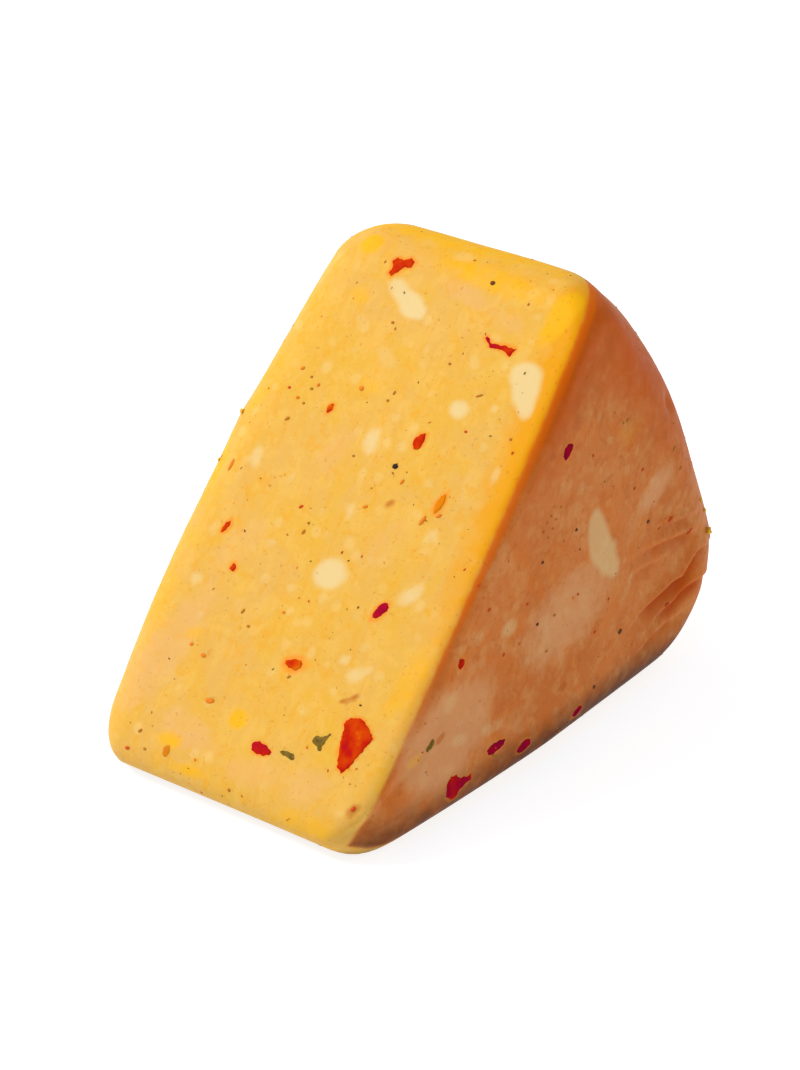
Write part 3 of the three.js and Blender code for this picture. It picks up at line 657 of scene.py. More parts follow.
def paste_marks(points, shape):
    """What shows in the paste at each point of its smooth skin, as numbers from about 0 to 1."""
    marks = {}
    for name, lumps in LUMPS.items():
        shown = np.zeros(len(points))
        for face, place, long, wide, turn, strength in lumps:
            seat = turned(seat_on(face, place, shape), turn)
            lump = strength * smooth(lump_depth(points, seat, long, wide), -0.3, 0.65)
            shown = shown + lump - shown * lump
        marks[name] = shown
    oil = np.zeros(len(points))
    for face, place, outline, bleed, _ in CHILLI.values():
        seat = seat_on(face, place, shape)
        away = (points - np.array(seat.translation)) @ np.array(seat.to_3x3()) / MM
        near = np.flatnonzero((np.abs(away) < 8).all(1))
        distance = line_distance(away[near, :2], outline)
        distance[within(away[near, :2], outline)] = 0
        oil[near] = np.maximum(oil[near], np.exp(-(distance / bleed) ** 2) * (np.abs(away[near, 2]) < 2.5))
    marks["oil"] = oil

    # How deep each point lies behind each face, in millimetres.
    below, cut, rind, right, left = (-distance / MM for distance in beyond_faces(points, shape))
    outward = reach_of(points, shape)[1]
    side = np.minimum(right, left)
    # The wheel's own skin: all but the two cut faces. It begins a little over the right-hand crest, a little
    # late on the left, and 6 mm down the rind.
    early = mixed(0, 0.8, smooth(outward, 0.1, 0.55))
    from_cut = cut - np.minimum(np.minimum(right - early, left + 1.5), rind + 6)
    from_opened = np.minimum(below - np.minimum(side, rind), from_cut)
    marks["skin"] = smooth(from_opened, -1, 1)
    # The deep yellow along the right-hand and top edges of the cut face; along the top edge it is partly
    # painted light, where the rounding turns away from the lamp. The orange line beside it is painted glow of
    # light scattered through the crest into its shaded side.
    marks["ridge"] = (1 - marks["skin"]) * np.maximum(
        (1 - smooth(right, 1, 10)) * smooth(outward, 0, 0.8), 0.3 * (1 - smooth(rind, 4, 14)))
    marks["painted_glow_line"] = np.exp(-((cut - right + 0.2) / 1.1) ** 2) * (right < 8) * smooth(outward, 0.1, 0.6)
    # The redder skin up by the rind, and painted shade under the right-hand crest, on the right face only.
    by_rind = (1 - smooth(rind, 3, 24)) * smooth(below, 16, 40) * mixed(0.5, 1, smooth(below, 32, 54))
    by_crest = 0.9 * (1 - smooth(cut, 2, 12)) * smooth(outward, 0.4, 0.9) * (right < left)
    marks["warm"] = marks["skin"] * np.maximum(by_rind * mixed(0.3, 1, smooth(rind - side, -5, 4)), by_crest)
    # Painted shade along the table: the skin darkened up to 12 mm above it, most on the right, and a dark
    # line painted along every bottom edge.
    foot = marks["skin"] * (1 - smooth(below, 0, 12)) * np.where(right < 12, 1, 0.35)
    foot = foot * mixed(0.75, 1, smooth(outward, 0.15, 0.5))
    marks["foot"] = np.maximum(foot, 0.9 * (1 - smooth(below, 0.5, 3)))
    return marks


# ---- Materials ----

def add(tree, kind, inputs=None, **settings):
    """A node with its settings. An input takes a value, or another node's output, which is linked to it."""
    node = tree.nodes.new(kind)
    for name, value in settings.items():
        setattr(node, name, value)
    for name, value in (inputs or {}).items():
        if isinstance(value, bpy.types.NodeSocket):
            tree.links.new(value, node.inputs[name])
        else:
            node.inputs[name].default_value = value
    return node


def times(tree, a, b):
    return add(tree, "ShaderNodeMath", {0: a, 1: b}, operation="MULTIPLY").outputs[0]


def tinted(tree, amount, base, tone):
    """One colour mixed towards another by a share."""
    return add(tree, "ShaderNodeMix", {0: amount, 6: base, 7: tone}, data_type="RGBA").outputs[2]


def rising(tree, value, begins, full):
    """A share that rises softly from nought where the value begins to one where it is full."""
    return add(tree, "ShaderNodeMapRange", {"Value": value, "From Min": begins, "From Max": full},
               interpolation_type="SMOOTHSTEP").outputs[0]


def fresh_material(name):
    """An empty node material: its tree, and the object coordinates that its patterns follow."""
    material = bpy.data.materials.new(name)
    material.use_nodes = True
    tree = material.node_tree
    tree.nodes.clear()
    return material, tree, add(tree, "ShaderNodeTexCoord").outputs["Object"]


# Patterns in the paste: the size of a patch in millimetres, octaves, and where it begins and is full. The
# dust is ground paprika, too fine to show, and is drawn at 0.5 mm.
PASTE_PATTERNS = {
    "cloud": (24, 3, 0.42, 0.60),
    "patch": (9, 5, 0.46, 0.60),
    "mottle": (3.4, 6, 0.47, 0.62),
    "vein": (2.2, 7, 0.54, 0.64),
    "flush": (6.5, 5, 0.52, 0.66),
    "grain": (0.9, 4, 0.40, 0.68),
    "dust": (0.5, 1, 0.66, 0.76),
    "drag": (0.9, 4, 0.48, 0.66),
}
DRAGGED = 9  # how many times longer than wide the knife draws its streaks down the cut
# How the two kinds of surface are coloured, one layer on another: pattern, colour, and strength.
CUT_LAYERS = [
    ("cloud", "gold", 0.4), ("patch", "gold", 0.5), ("flush", "peach", 0.5), ("mottle", "pale", 0.45),
    ("vein", "amber", 0.4), ("drag", "amber", 0.25), ("grain", "pale", 0.18),
]
SKIN_LAYERS = [
    ("cloud", "skin_deep", 0.45), ("patch", "skin_warm", 0.5), ("flush", "skin_pale", 0.4),
    ("mottle", "skin_pale", 0.25), ("vein", "skin_deep", 0.4), ("grain", "skin_deep", 0.2),
]
# The marks worked out on the mesh: how ragged the mark's edge is, and where it begins and is full.
RAGGED_MARKS = {
    "curd": (0.3, 0.12, 0.85),
    "rich": (0.8, 0.1, 0.9),
    "brown": (0.9, 0.15, 0.9),
    "oil": (0.5, 0.2, 0.9),
    "crease": (0.2, 0.1, 0.8),
    "ridge": (0.6, 0.1, 0.85),
    "painted_glow_line": (0.5, 0.1, 0.9),
    "warm": (0.7, 0.1, 1.0),
    "foot": (0.4, 0.05, 0.9),
    "blush": (0.9, 0.1, 0.9),
    "skin": (0.5, 0.2, 0.8),
}


def paste_masks(tree, where):
    """Where each pattern and each mark shows in the paste, as shares."""
    masks = {}
    for name, (size, octaves, begins, full) in PASTE_PATTERNS.items():
        drawn = 1 / DRAGGED if name == "drag" else 1
        stretched = add(tree, "ShaderNodeVectorMath", {0: where, 1: (1, drawn, drawn)}, operation="MULTIPLY")
        cloud = add(tree, "ShaderNodeTexNoise",
                    {"Vector": stretched.outputs[0], "Scale": 1 / (size * MM), "Detail": octaves,
                     "Roughness": 0.6, "Distortion": 0.5})
        masks[name] = rising(tree, cloud.outputs[0], begins, full)
    wobble = add(tree, "ShaderNodeTexNoise", {"Vector": where, "Scale": 1 / (2.6 * MM), "Detail": 4})
    for name, (ragged_by, begins, full) in RAGGED_MARKS.items():
        mark = add(tree, "ShaderNodeAttribute", attribute_name=name)
        uneven = add(tree, "ShaderNodeMath", {0: wobble.outputs[0], 1: ragged_by, 2: mark.outputs["Fac"]},
                     operation="MULTIPLY_ADD")
        masks[name] = rising(tree, uneven.outputs[0], begins + ragged_by / 2, full + ragged_by / 2)

    # Small curds that kept their shape, about 2 mm across, the palest of them chosen by their own number.
    curds = add(tree, "ShaderNodeTexVoronoi", {"Vector": where, "Scale": 1 / (2.4 * MM)},
                feature="SMOOTH_F1")
    chosen = add(tree, "ShaderNodeMapRange",
                 {"Value": curds.outputs["Color"], "From Min": 0.62, "From Max": 0.8})
    near = rising(tree, curds.outputs["Distance"], 0.5, 0.2)
    masks["small_curd"] = times(tree, chosen.outputs[0], near)
    return masks


def paste_colour(tree, masks, colours):
    """The cut paste and the wheel's skin, each in its own layers, and the marks that lie over both."""
    palette = {
        "gold": colours.gold[:], "peach": colours.peach[:], "skin_deep": colours.skin_deep[:],
        "pale": linear("#CFA44E"), "amber": linear("#CE9010"), "skin_warm": linear("#C4681C"),
        "skin_pale": linear("#C68E54"),
    }
    surfaces = []
    for start, layers in ((colours.peach[:], CUT_LAYERS), (colours.skin[:], SKIN_LAYERS)):
        base = tinted(tree, 0.0, start, start)
        for pattern, tone, strength in layers:
            base = tinted(tree, times(tree, masks[pattern], strength), base, palette[tone])
        surfaces.append(base)
    base = tinted(tree, masks["skin"], *surfaces)

    # Everything on top of either surface: mask, colour, and its strength on the cut paste and on the skin.
    for mask, tone, on_cut, on_skin in (
        ("small_curd", linear("#CFB377"), 0.3, 0.15),
        # On the right face the blush is painted bounce light.
        ("blush", linear("#CC9C6C"), 0.35, 0.5),
        # The ridge is partly painted light along the top edge of the cut face.
        ("ridge", linear("#CE8C04"), 0.95, 0.5),
        # Partly painted light along the top edge of the cut face.
        ("rich", linear("#D69E0C"), 0.9, 0.35),
        # The warm tone is partly painted shade under the right-hand crest.
        ("warm", linear("#B24A02"), 0.3, 0.85),
        # Painted glow of light scattered through the crest into its shaded side.
        ("painted_glow_line", linear("#C65C02"), 0.9, 0.8),
        ("brown", linear("#A4500E"), 0.7, 0.55),
        # Painted shade along the table.
        ("foot", linear("#381808"), 0.5, 0.92),
        ("dust", linear("#9C4A1C"), 0.3, 0.35),
        ("curd", colours.curd[:], 0.95, 0.55),
        ("oil", colours.oil[:], 0.7, 0.25),
        # Painted shade in the grooves of the folds.
        ("crease", linear("#B04404"), 0.85, 0.8),
    ):
        strength = add(tree, "ShaderNodeMix", {0: masks["skin"], 2: on_cut, 3: on_skin}, data_type="FLOAT")
        base = tinted(tree, times(tree, masks[mask], strength.outputs[0]), base, tone)
    return base


def pressed_paste(colours):
    """Pressed, smoked cheese paste, coloured with annatto and paprika.

    Fat makes it satin and slightly translucent. Curds that took less colour stay as pale lumps, and the
    wheel's own skin is browner and duller than the paste that the knife has opened.
    """
    material, tree, where = fresh_material("pressed_annatto_cheese")
    base = paste_colour(tree, paste_masks(tree, where), colours)

    # The fine tooth of a surface pressed against wrap: pits of about 0.7 mm, with finer ones in them.
    pits = add(tree, "ShaderNodeTexNoise", {"Vector": where, "Scale": 1 / (1.5 * MM), "Detail": 5,
                                            "Roughness": 0.6})
    relief = add(tree, "ShaderNodeBump", {"Height": pits.outputs[0], "Strength": 0.35,
                                          "Distance": 0.12 * MM})
    gloss = add(tree, "ShaderNodeMapRange", {"Value": pits.outputs[0], "From Min": 0.3, "From Max": 0.7,
                                             "To Min": 0.42, "To Max": 0.62})
    shader = add(tree, "ShaderNodeBsdfPrincipled", {
        "Base Color": base, "Roughness": gloss.outputs[0], "Normal": relief.outputs[0], "IOR": 1.46,
        "Specular IOR Level": 0.05, "Subsurface Weight": 0.3,
        "Subsurface Radius": (1.0, 0.45, 0.12), "Subsurface Scale": 2.2 * MM,
    })
    add(tree, "ShaderNodeOutputMaterial", {"Surface": shader.outputs[0]})
    return material


def spotted(name, size, colours, roughness, specular, rim_shift=0.0, depth=0.03):
    """A skin or leaf whose colour wanders through a few tones round its own, with small wrinkles."""
    material, tree, where = fresh_material(name)
    cloud = add(tree, "ShaderNodeTexNoise", {"Vector": where, "Scale": 1 / (size * MM), "Detail": 4})
    own = add(tree, "ShaderNodeAttribute", attribute_name="tone")
    wander = add(tree, "ShaderNodeMath", {0: cloud.outputs[0], 1: 1.0, 2: -0.5}, operation="MULTIPLY_ADD")
    rim = add(tree, "ShaderNodeAttribute", attribute_name="rim")
    thin = add(tree, "ShaderNodeMath", {0: rim.outputs["Fac"], 1: rim_shift, 2: own.outputs["Fac"]},
               operation="MULTIPLY_ADD")
    place = add(tree, "ShaderNodeMath", {0: wander.outputs[0], 1: thin.outputs[0]}, operation="ADD")
    tones = add(tree, "ShaderNodeValToRGB", {"Fac": place.outputs[0]})
    ends = tones.color_ramp.elements
    ends[0].color, ends[1].color = linear(colours[0]), linear(colours[-1])
    for i, tone in enumerate(colours[1:-1]):
        ends.new((i + 1) / (len(colours) - 1)).color = linear(tone)
    wrinkles = add(tree, "ShaderNodeTexNoise", {"Vector": where, "Scale": 2 / (size * MM), "Detail": 4})
    relief = add(tree, "ShaderNodeBump", {"Height": wrinkles.outputs[0], "Strength": 0.6,
                                          "Distance": depth * MM})
    gloss = add(tree, "ShaderNodeMapRange", {"Value": wrinkles.outputs[0], "From Min": 0.3,
                                             "From Max": 0.7, "To Min": roughness - 0.1,
                                             "To Max": roughness + 0.1})
    shader = add(tree, "ShaderNodeBsdfPrincipled", {
        "Base Color": tones.outputs[0], "Roughness": gloss.outputs[0], "Normal": relief.outputs[0],
        "IOR": 1.45, "Specular IOR Level": specular,
    })
    add(tree, "ShaderNodeOutputMaterial", {"Surface": shader.outputs[0]})
    return material


INCLUSION_FINISHES = {
    # Dried chilli and bell pepper skin: waxy, each piece in its own place between crimson and orange.
    "chilli": dict(name="dried_chilli_skin", size=1.8, roughness=0.35, specular=0.0, depth=0.015,
                   colours=["#700A2C", "#940A26", "#A8180A", "#B83806", "#C4700A"]),
    # Dried herb leaf: matt olive, brown where it is broken.
    "herb": dict(name="dried_herb_leaf", size=0.6, roughness=0.6, specular=0.05, rim_shift=0.2,
                 colours=["#2C240C", "#5C4A18", "#8E6A24"]),
    # Chilli seed: a hard, waxy, amber coat.
    "seed": dict(name="chilli_seed_coat", size=0.8, roughness=0.4, specular=0.08,
                 colours=["#A85406", "#BE6E06", "#C88418"]),
    # Crushed black pepper: rough, near black, with grey brown inside.
    "peppercorn": dict(name="crushed_black_pepper", size=0.4, roughness=0.75, specular=0.1,
                       colours=["#120C0A", "#2E211B", "#57422F"]),
}


def finish_for(slot):
    """The finish of a kind of inclusion, made when it is first asked for."""
    finish = INCLUSION_FINISHES[slot]
    return bpy.data.materials.get(finish["name"]) or spotted(**finish)


def spice_dust():
    """Ground spice: brown, red, green, orange and black bits, each of one kind, dull with the fat on them."""
    material, tree, where = fresh_material("ground_spice")
    kind = add(tree, "ShaderNodeAttribute", attribute_name="kind")
    tones = add(tree, "ShaderNodeValToRGB", {"Fac": kind.outputs["Fac"]})
    tones.color_ramp.interpolation = "CONSTANT"
    # Each kind has a fifth of the ramp: brown, red, green, orange and black.
    steps = tones.color_ramp.elements
    steps[0].position, steps[0].color = 0, linear("#A86816")
    steps[1].position, steps[1].color = 0.8, linear("#4E2A12")
    for position, tone in ((0.2, "#BC3C08"), (0.4, "#7C6A1C"), (0.6, "#D0700A")):
        steps.new(position).color = linear(tone)
    cloud = add(tree, "ShaderNodeTexNoise", {"Vector": where, "Scale": 1 / (0.4 * MM), "Detail": 2})
    fatty = tinted(tree, cloud.outputs[0], tones.outputs[0], linear("#A8602A"))
    shader = add(tree, "ShaderNodeBsdfPrincipled", {
        "Base Color": tinted(tree, 0.75, fatty, tones.outputs[0]), "Roughness": 0.6,
        "Specular IOR Level": 0.1,
    })
    add(tree, "ShaderNodeOutputMaterial", {"Surface": shader.outputs[0]})
    return material


def white_paper():
    """A sweep of matt white paper that shines evenly, as it does over a light table."""
    material, tree, where = fresh_material("white_paper_sweep")
    grain = add(tree, "ShaderNodeTexNoise", {"Vector": where, "Scale": 1 / (3 * MM)})
    paper = add(tree, "ShaderNodeBsdfPrincipled", {
        "Base Color": tinted(tree, grain.outputs[0], linear("#9C9FA4"), linear("#A0A2A6")),
        "Roughness": 0.9, "Specular IOR Level": 0.1,
        "Emission Color": (1, 1, 1, 1), "Emission Strength": 0.8,
    })
    add(tree, "ShaderNodeOutputMaterial", {"Surface": paper.outputs[0]})
    return material


# ---- Geometry Nodes ----

def new_tree(name, sizes):
    """A geometry tree with named inputs: its tree, its group input, and its output's socket to link to."""
    tree = bpy.data.node_groups.new(name, "GeometryNodeTree")
    tree.interface.new_socket("Geometry", in_out="INPUT", socket_type="NodeSocketGeometry")
    for label, (kind, value) in sizes.items():
        tree.interface.new_socket(label, in_out="INPUT", socket_type=kind).default_value = value
    tree.interface.new_socket("Geometry", in_out="OUTPUT", socket_type="NodeSocketGeometry")
    return tree, add(tree, "NodeGroupInput")


def close_tree(tree, geometry, material):
    real = add(tree, "GeometryNodeRealizeInstances", {"Geometry": geometry})
    dressed = add(tree, "GeometryNodeSetMaterial", {"Geometry": real.outputs[0], "Material": material})
    add(tree, "NodeGroupOutput", {"Geometry": dressed.outputs[0]})


def relief_tree(material):
    """Pushes a skin in and out with broad swells and small knobbles, but not where it lies on the table."""
    number = "NodeSocketFloat"
    tree, given = new_tree("paste_relief", {
        "Swell height": (number, 0.0), "Swell size": (number, 1.0),
        "Knobble height": (number, 0.0), "Knobble size": (number, 1.0),
    })
    where = add(tree, "GeometryNodeInputPosition")
    pushed = None
    for label, octaves in (("Swell", 1), ("Knobble", 3)):
        fineness = add(tree, "ShaderNodeMath", {0: 1.0, 1: given.outputs[label + " size"]},
                       operation="DIVIDE")
        waves = add(tree, "ShaderNodeTexNoise",
                    {"Vector": where.outputs[0], "Scale": fineness.outputs[0], "Detail": octaves})
        centred = add(tree, "ShaderNodeMath", {0: waves.outputs[0], 1: 0.5}, operation="SUBTRACT")
        height = add(tree, "ShaderNodeMath",
                     {0: centred.outputs[0], 1: given.outputs[label + " height"], 2: 0.0},
                     operation="MULTIPLY_ADD")
        if pushed:
            tree.links.new(pushed.outputs[0], height.inputs[2])
        pushed = height
    free = add(tree, "GeometryNodeInputNamedAttribute", {"Name": "free"}, data_type="FLOAT")
    push = add(tree, "ShaderNodeMath", {0: pushed.outputs[0], 1: free.outputs[0]}, operation="MULTIPLY")
    normal = add(tree, "GeometryNodeInputNormal")
    offset = add(tree, "ShaderNodeVectorMath", {0: normal.outputs[0], "Scale": push.outputs[0]},
                 operation="SCALE")
    moved = add(tree, "GeometryNodeSetPosition",
                {"Geometry": given.outputs["Geometry"], "Offset": offset.outputs[0]})
    close_tree(tree, moved.outputs[0], material)
    return tree


def scatter_tree(material):
    """Scatters small flattened grains over a surface, of random kinds and sizes, all but underneath."""
    number = "NodeSocketFloat"
    tree, given = new_tree("spice_scatter", {
        "Density": (number, 1.0), "Smallest": (number, 1.0), "Largest": (number, 1.0),
        "Seed": ("NodeSocketInt", 0),
    })
    normal = add(tree, "GeometryNodeInputNormal")
    upward = add(tree, "ShaderNodeVectorMath", {0: normal.outputs[0], 1: (0, 0, 1)},
                 operation="DOT_PRODUCT")
    shown = add(tree, "FunctionNodeCompare", {0: upward.outputs["Value"], 1: -0.7},
                data_type="FLOAT", operation="GREATER_THAN")
    places = add(tree, "GeometryNodeDistributePointsOnFaces", {
        "Mesh": given.outputs["Geometry"], "Selection": shown.outputs[0],
        "Density": given.outputs["Density"], "Seed": given.outputs["Seed"],
    })
    kinds = add(tree, "FunctionNodeRandomValue", {"Seed": 11}, data_type="FLOAT")
    uneven = add(tree, "ShaderNodeMath", {0: kinds.outputs[1], 1: 1.6}, operation="POWER")
    marked = add(tree, "GeometryNodeStoreNamedAttribute", {
        "Geometry": places.outputs["Points"], "Name": "kind", "Value": uneven.outputs[0],
    }, data_type="FLOAT", domain="POINT")
    lengths_drawn = add(tree, "FunctionNodeRandomValue", {"Seed": 12}, data_type="FLOAT")
    skewed = add(tree, "ShaderNodeMath", {0: lengths_drawn.outputs[1], 1: 2.5}, operation="POWER")
    drawn = add(tree, "ShaderNodeMapRange", {
        "Value": skewed.outputs[0], "To Min": given.outputs["Smallest"], "To Max": given.outputs["Largest"],
    })
    widths = add(tree, "FunctionNodeRandomValue", {"Seed": 13}, data_type="FLOAT_VECTOR")
    widths.inputs[0].default_value, widths.inputs[1].default_value = (0.9, 0.35, 0.25), (1.2, 0.8, 0.45)
    sizes = add(tree, "ShaderNodeVectorMath", {0: widths.outputs[0], "Scale": drawn.outputs[0]},
                operation="SCALE")
    spin = add(tree, "FunctionNodeRandomValue", {"Seed": 14}, data_type="FLOAT_VECTOR")
    spin.inputs[0].default_value, spin.inputs[1].default_value = (-0.2, -0.2, 0), (0.2, 0.2, 2 * math.pi)
    turn = add(tree, "FunctionNodeRotateRotation",
               {0: places.outputs["Rotation"], 1: spin.outputs[0]}, rotation_space="LOCAL")
    grain = add(tree, "GeometryNodeMeshIcoSphere", {"Radius": 0.5, "Subdivisions": 1})
    scattered = add(tree, "GeometryNodeInstanceOnPoints", {
        "Points": marked.outputs[0], "Instance": grain.outputs[0], "Rotation": turn.outputs[0],
        "Scale": sizes.outputs[0],
    })
    close_tree(tree, scattered.outputs[0], material)
    return tree


def placing_tree(material):
    """Puts a flattened grain on each point, by the point's own size, turn and kind."""
    tree, given = new_tree("spice_placing", {"Roundness": ("NodeSocketInt", 2)})
    sizes = add(tree, "GeometryNodeInputNamedAttribute", {"Name": "size"}, data_type="FLOAT_VECTOR")
    turns = add(tree, "GeometryNodeInputNamedAttribute", {"Name": "turn"}, data_type="FLOAT_VECTOR")
    turn = add(tree, "FunctionNodeEulerToRotation", {0: turns.outputs[0]})
    grain = add(tree, "GeometryNodeMeshIcoSphere", {"Radius": 0.5, "Subdivisions": given.outputs[1]})
    placed = add(tree, "GeometryNodeInstanceOnPoints", {
        "Points": given.outputs["Geometry"], "Instance": grain.outputs[0], "Rotation": turn.outputs[0],
        "Scale": sizes.outputs[0],
    })
    close_tree(tree, placed.outputs[0], material)
    return tree


def made_by(piece, tree, sizes):
    """Runs a geometry tree on a piece, and leaves the result as its plain mesh."""
    modifier = piece.modifiers.new(tree.name, "NODES")
    modifier.node_group = tree
    sockets = {i.name: i.identifier for i in tree.interface.items_tree if i.in_out == "INPUT"}
    for name, value in sizes.items():
        modifier[sockets[name]] = value
    evaluated = piece.evaluated_get(bpy.context.evaluated_depsgraph_get())
    mesh = bpy.data.meshes.new_from_object(evaluated)
    before = piece.data
    piece.modifiers.remove(modifier)
    piece.data = mesh
    bpy.data.meshes.remove(before)
    mesh.name = piece.name
    for i in reversed(range(len(mesh.materials))):
        if mesh.materials[i] is None:
            mesh.materials.pop(index=i)
    return piece


# ---- Pieces ----

def new_piece(name, points, faces, material=None):
    """A smooth-shaded mesh in the row's frame."""
    mesh = bpy.data.meshes.new(name)
    mesh.from_pydata([tuple(p) for p in points], [], [tuple(int(i) for i in f) for f in faces])
    mesh.shade_smooth()
    if material:
        mesh.materials.append(material)
    piece = bpy.data.objects.new(name, mesh)
    bpy.context.scene.collection.objects.link(piece)
    return piece


def store(piece, marks, kind="FLOAT"):
    """Keeps one number, or one vector, for each point of a piece."""
    for name, values in marks.items():
        layer = piece.data.attributes.new(name, kind, "POINT")
        layer.data.foreach_set("value" if kind == "FLOAT" else "vector",
                               np.ascontiguousarray(values, np.float32).ravel())


def fasten(piece, slot, *nodes):
    """Hands a finished piece to the frame: its body, and the nodes it stands for, which it hides. The slot is
    not used.
    """
    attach(piece, BODY)
    if nodes:
        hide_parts(*nodes)
    return piece


def rough_ball(halves, roughness, seed, lumps=1.3):
    """A closed ball of the given half sizes, knobbled by up to a share of them: its points and faces."""
    ball = bmesh.new()
    bmesh.ops.create_icosphere(ball, subdivisions=3, radius=1)
    shift = Vector((seed * 3.1, seed * 1.7, seed * 2.3))
    points = []
    for vertex in ball.verts:
        bump = 1 + roughness * noise.noise(vertex.co * lumps + shift)
        points.append(Vector(vertex.co[i] * halves[i] for i in range(3)) * bump)
    faces = [[v.index for v in face.verts] for face in ball.faces]
    ball.free()
    return points, faces


class Ground:
    """The finished paste, for putting things on it."""

    def __init__(self, shape):
        cheese = bpy.data.objects.get("cheese")
        if cheese is None:
            raise RuntimeError("Make the cheese paste first")
        mesh = cheese.data
        self.tree = BVHTree.FromPolygons([v.co for v in mesh.vertices],
                                         [tuple(p.vertices) for p in mesh.polygons])
        self.shape = shape
        self.tip_edge = Vector(cheese["tip_edge"])

    def seat(self, face, place):
        """The matrix of a place on the paste, in the row's frame."""
        seat = Matrix.Translation(self.tip_edge) @ seat_on(face, place, self.shape)
        seat.translation = self.above(seat, 0, 0, 0)
        return seat

    def above(self, seat, x, y, height):
        """The point over (x, y) of a seat, at this height above the paste."""
        out = seat.col[2].xyz.normalized()
        start = seat @ Vector((x, y, 4 * MM))
        hit = self.tree.ray_cast(start, -out, 8 * MM)[0]
        return (hit or seat @ Vector((x, y, 0))) + out * height


# A flake's edge, in millimetres: how far its rim stands out of the paste, how wide the rounding of its top
# is, and how wide the rim that takes another tone is.
RIM_PROUD, DOME_WIDTH, RIM_WIDTH = 0.012, 0.35, 0.55


def wavy_edge(outline, step, jitter, seed):
    """The outline with a point every `step`, moved in and out a little. All in millimetres."""
    points = []
    for i, a in enumerate(outline):
        b = outline[(i + 1) % len(outline)]
        a, b = Vector(a), Vector(b)
        count = max(1, round((b - a).length / step))
        across = Vector((a.y - b.y, b.x - a.x)).normalized()
        for j in range(count):
            p = a.lerp(b, j / count)
            p += across * jitter * noise.noise(Vector((p.x * 1.9, p.y * 1.9, seed * 7.3)))
            points.append(p)
    return points


def filled(edge, step):
    """An outline filled with points a `step` apart: its own points and these, and the faces between."""
    low = [min(p[i] for p in edge) for i in (0, 1)]
    high = [max(p[i] for p in edge) for i in (0, 1)]
    grid = np.array([(x, y + (i % 2) * step / 2)
                     for i, x in enumerate(np.arange(low[0] + step / 2, high[0], step))
                     for y in np.arange(low[1] + step / 2, high[1], step)])
    inside = within(grid, edge) & (line_distance(grid, edge) > 0.45 * step)
    points = edge + [Vector(p) for p in grid[inside]]
    points, _, faces, *_ = delaunay_2d_cdt(points, [], [list(range(len(edge)))], 1, 1e-5)
    return np.array([tuple(p) for p in points]), faces


def closed(faces, count):
    """The faces of a closed body, from those of its top and the number of points that each side has."""
    sides = dict.fromkeys((a, b) for face in faces for a, b in zip(face, face[1:] + face[:1]))
    walls = [(b, a, a + count, b + count) for a, b in sides if (b, a) not in sides]
    under = [[i + count for i in reversed(face)] for face in faces]
    return [list(face) for face in faces] + under + walls


def flake(ground, name, seat, outline, material, seed, proud, thick, crumple, jitter=0.22, step=0.22):
    """A thin flake let into the paste: its top a little proud and crumpled, its rim level with the paste.

    Sizes are in millimetres.
    """
    edge = wavy_edge(outline, step, jitter, seed)
    flat, faces = filled(edge, step)
    inward = line_distance(flat, edge)
    top, bottom = [], []
    for (x, y), depth in zip(flat, inward):
        dome = min(1.0, depth / DOME_WIDTH)
        dome = dome * (2 - dome)
        folds = noise.noise(Vector((x * 0.8, y * 0.8, seed * 3.7))) \
            + 0.5 * noise.noise(Vector((x * 2.1, y * 2.1, seed * 5.1)))
        height = RIM_PROUD + dome * (proud - RIM_PROUD + crumple * folds)
        top.append(ground.above(seat, x * MM, y * MM, height * MM))
        bottom.append(ground.above(seat, x * MM, y * MM, -thick * MM))
    count = len(top)
    piece = new_piece(name, top + bottom, closed(faces, count), material)
    rims = np.clip(1 - inward / RIM_WIDTH, 0, 1)
    store(piece, {"rim": np.concatenate([rims, np.ones(count)])})
    return piece


# ---- The stage ----

FLOOR_RADIUS = 3
FLOOR_DROP = 0.05 * MM  # how far the floor lies below the wedge
KEY_AZIMUTH, KEY_ELEVATION = math.radians(-50), math.radians(50)
KEY_DISTANCE, KEY_SIZE = 1.2, 0.5
WEDGE_MIDDLE = (0, 45 * MM, 25 * MM)  # from the tip edge
AIM_LEFT, AIM_ABOVE = 0.642 * MM, 3.352 * MM  # where the camera is aimed, from the wedge's middle


def toward(azimuth, elevation):
    """The direction of a place round the wedge, from straight in front of its tip."""
    return Vector((math.sin(azimuth) * math.cos(elevation), -math.cos(azimuth) * math.cos(elevation),
                   math.sin(elevation)))


def lay_floor():
    angles = np.linspace(0, 2 * math.pi, 96, endpoint=False)
    ring = [(FLOOR_RADIUS * math.cos(a), FLOOR_RADIUS * math.sin(a), -FLOOR_DROP) for a in angles]
    floor = new_piece("floor", ring, [list(range(len(ring)))], white_paper())


def hang_soft_box(scene, power):
    key = bpy.data.lights.new("soft_box", "AREA")
    key.shape, key.size, key.size_y = "RECTANGLE", KEY_SIZE, KEY_SIZE
    key.energy, key.color = power, (1, 0.985, 0.96)
    lamp = bpy.data.objects.new("soft_box", key)
    away = toward(KEY_AZIMUTH, KEY_ELEVATION)
    facing = away.to_track_quat("Z", "Y").to_matrix().to_4x4()
    lamp.matrix_world = Matrix.Translation(away * KEY_DISTANCE) @ facing
    scene.collection.objects.link(lamp)


def whiten_room(scene, strength):
    world = bpy.data.worlds.new("white_room")
    world.use_nodes = True
    world.node_tree.nodes.clear()
    light = add(world.node_tree, "ShaderNodeBackground", {"Color": (0.96, 0.98, 1, 1), "Strength": strength})
    add(world.node_tree, "ShaderNodeOutputWorld", {"Surface": light.outputs[0]})
    scene.world = world


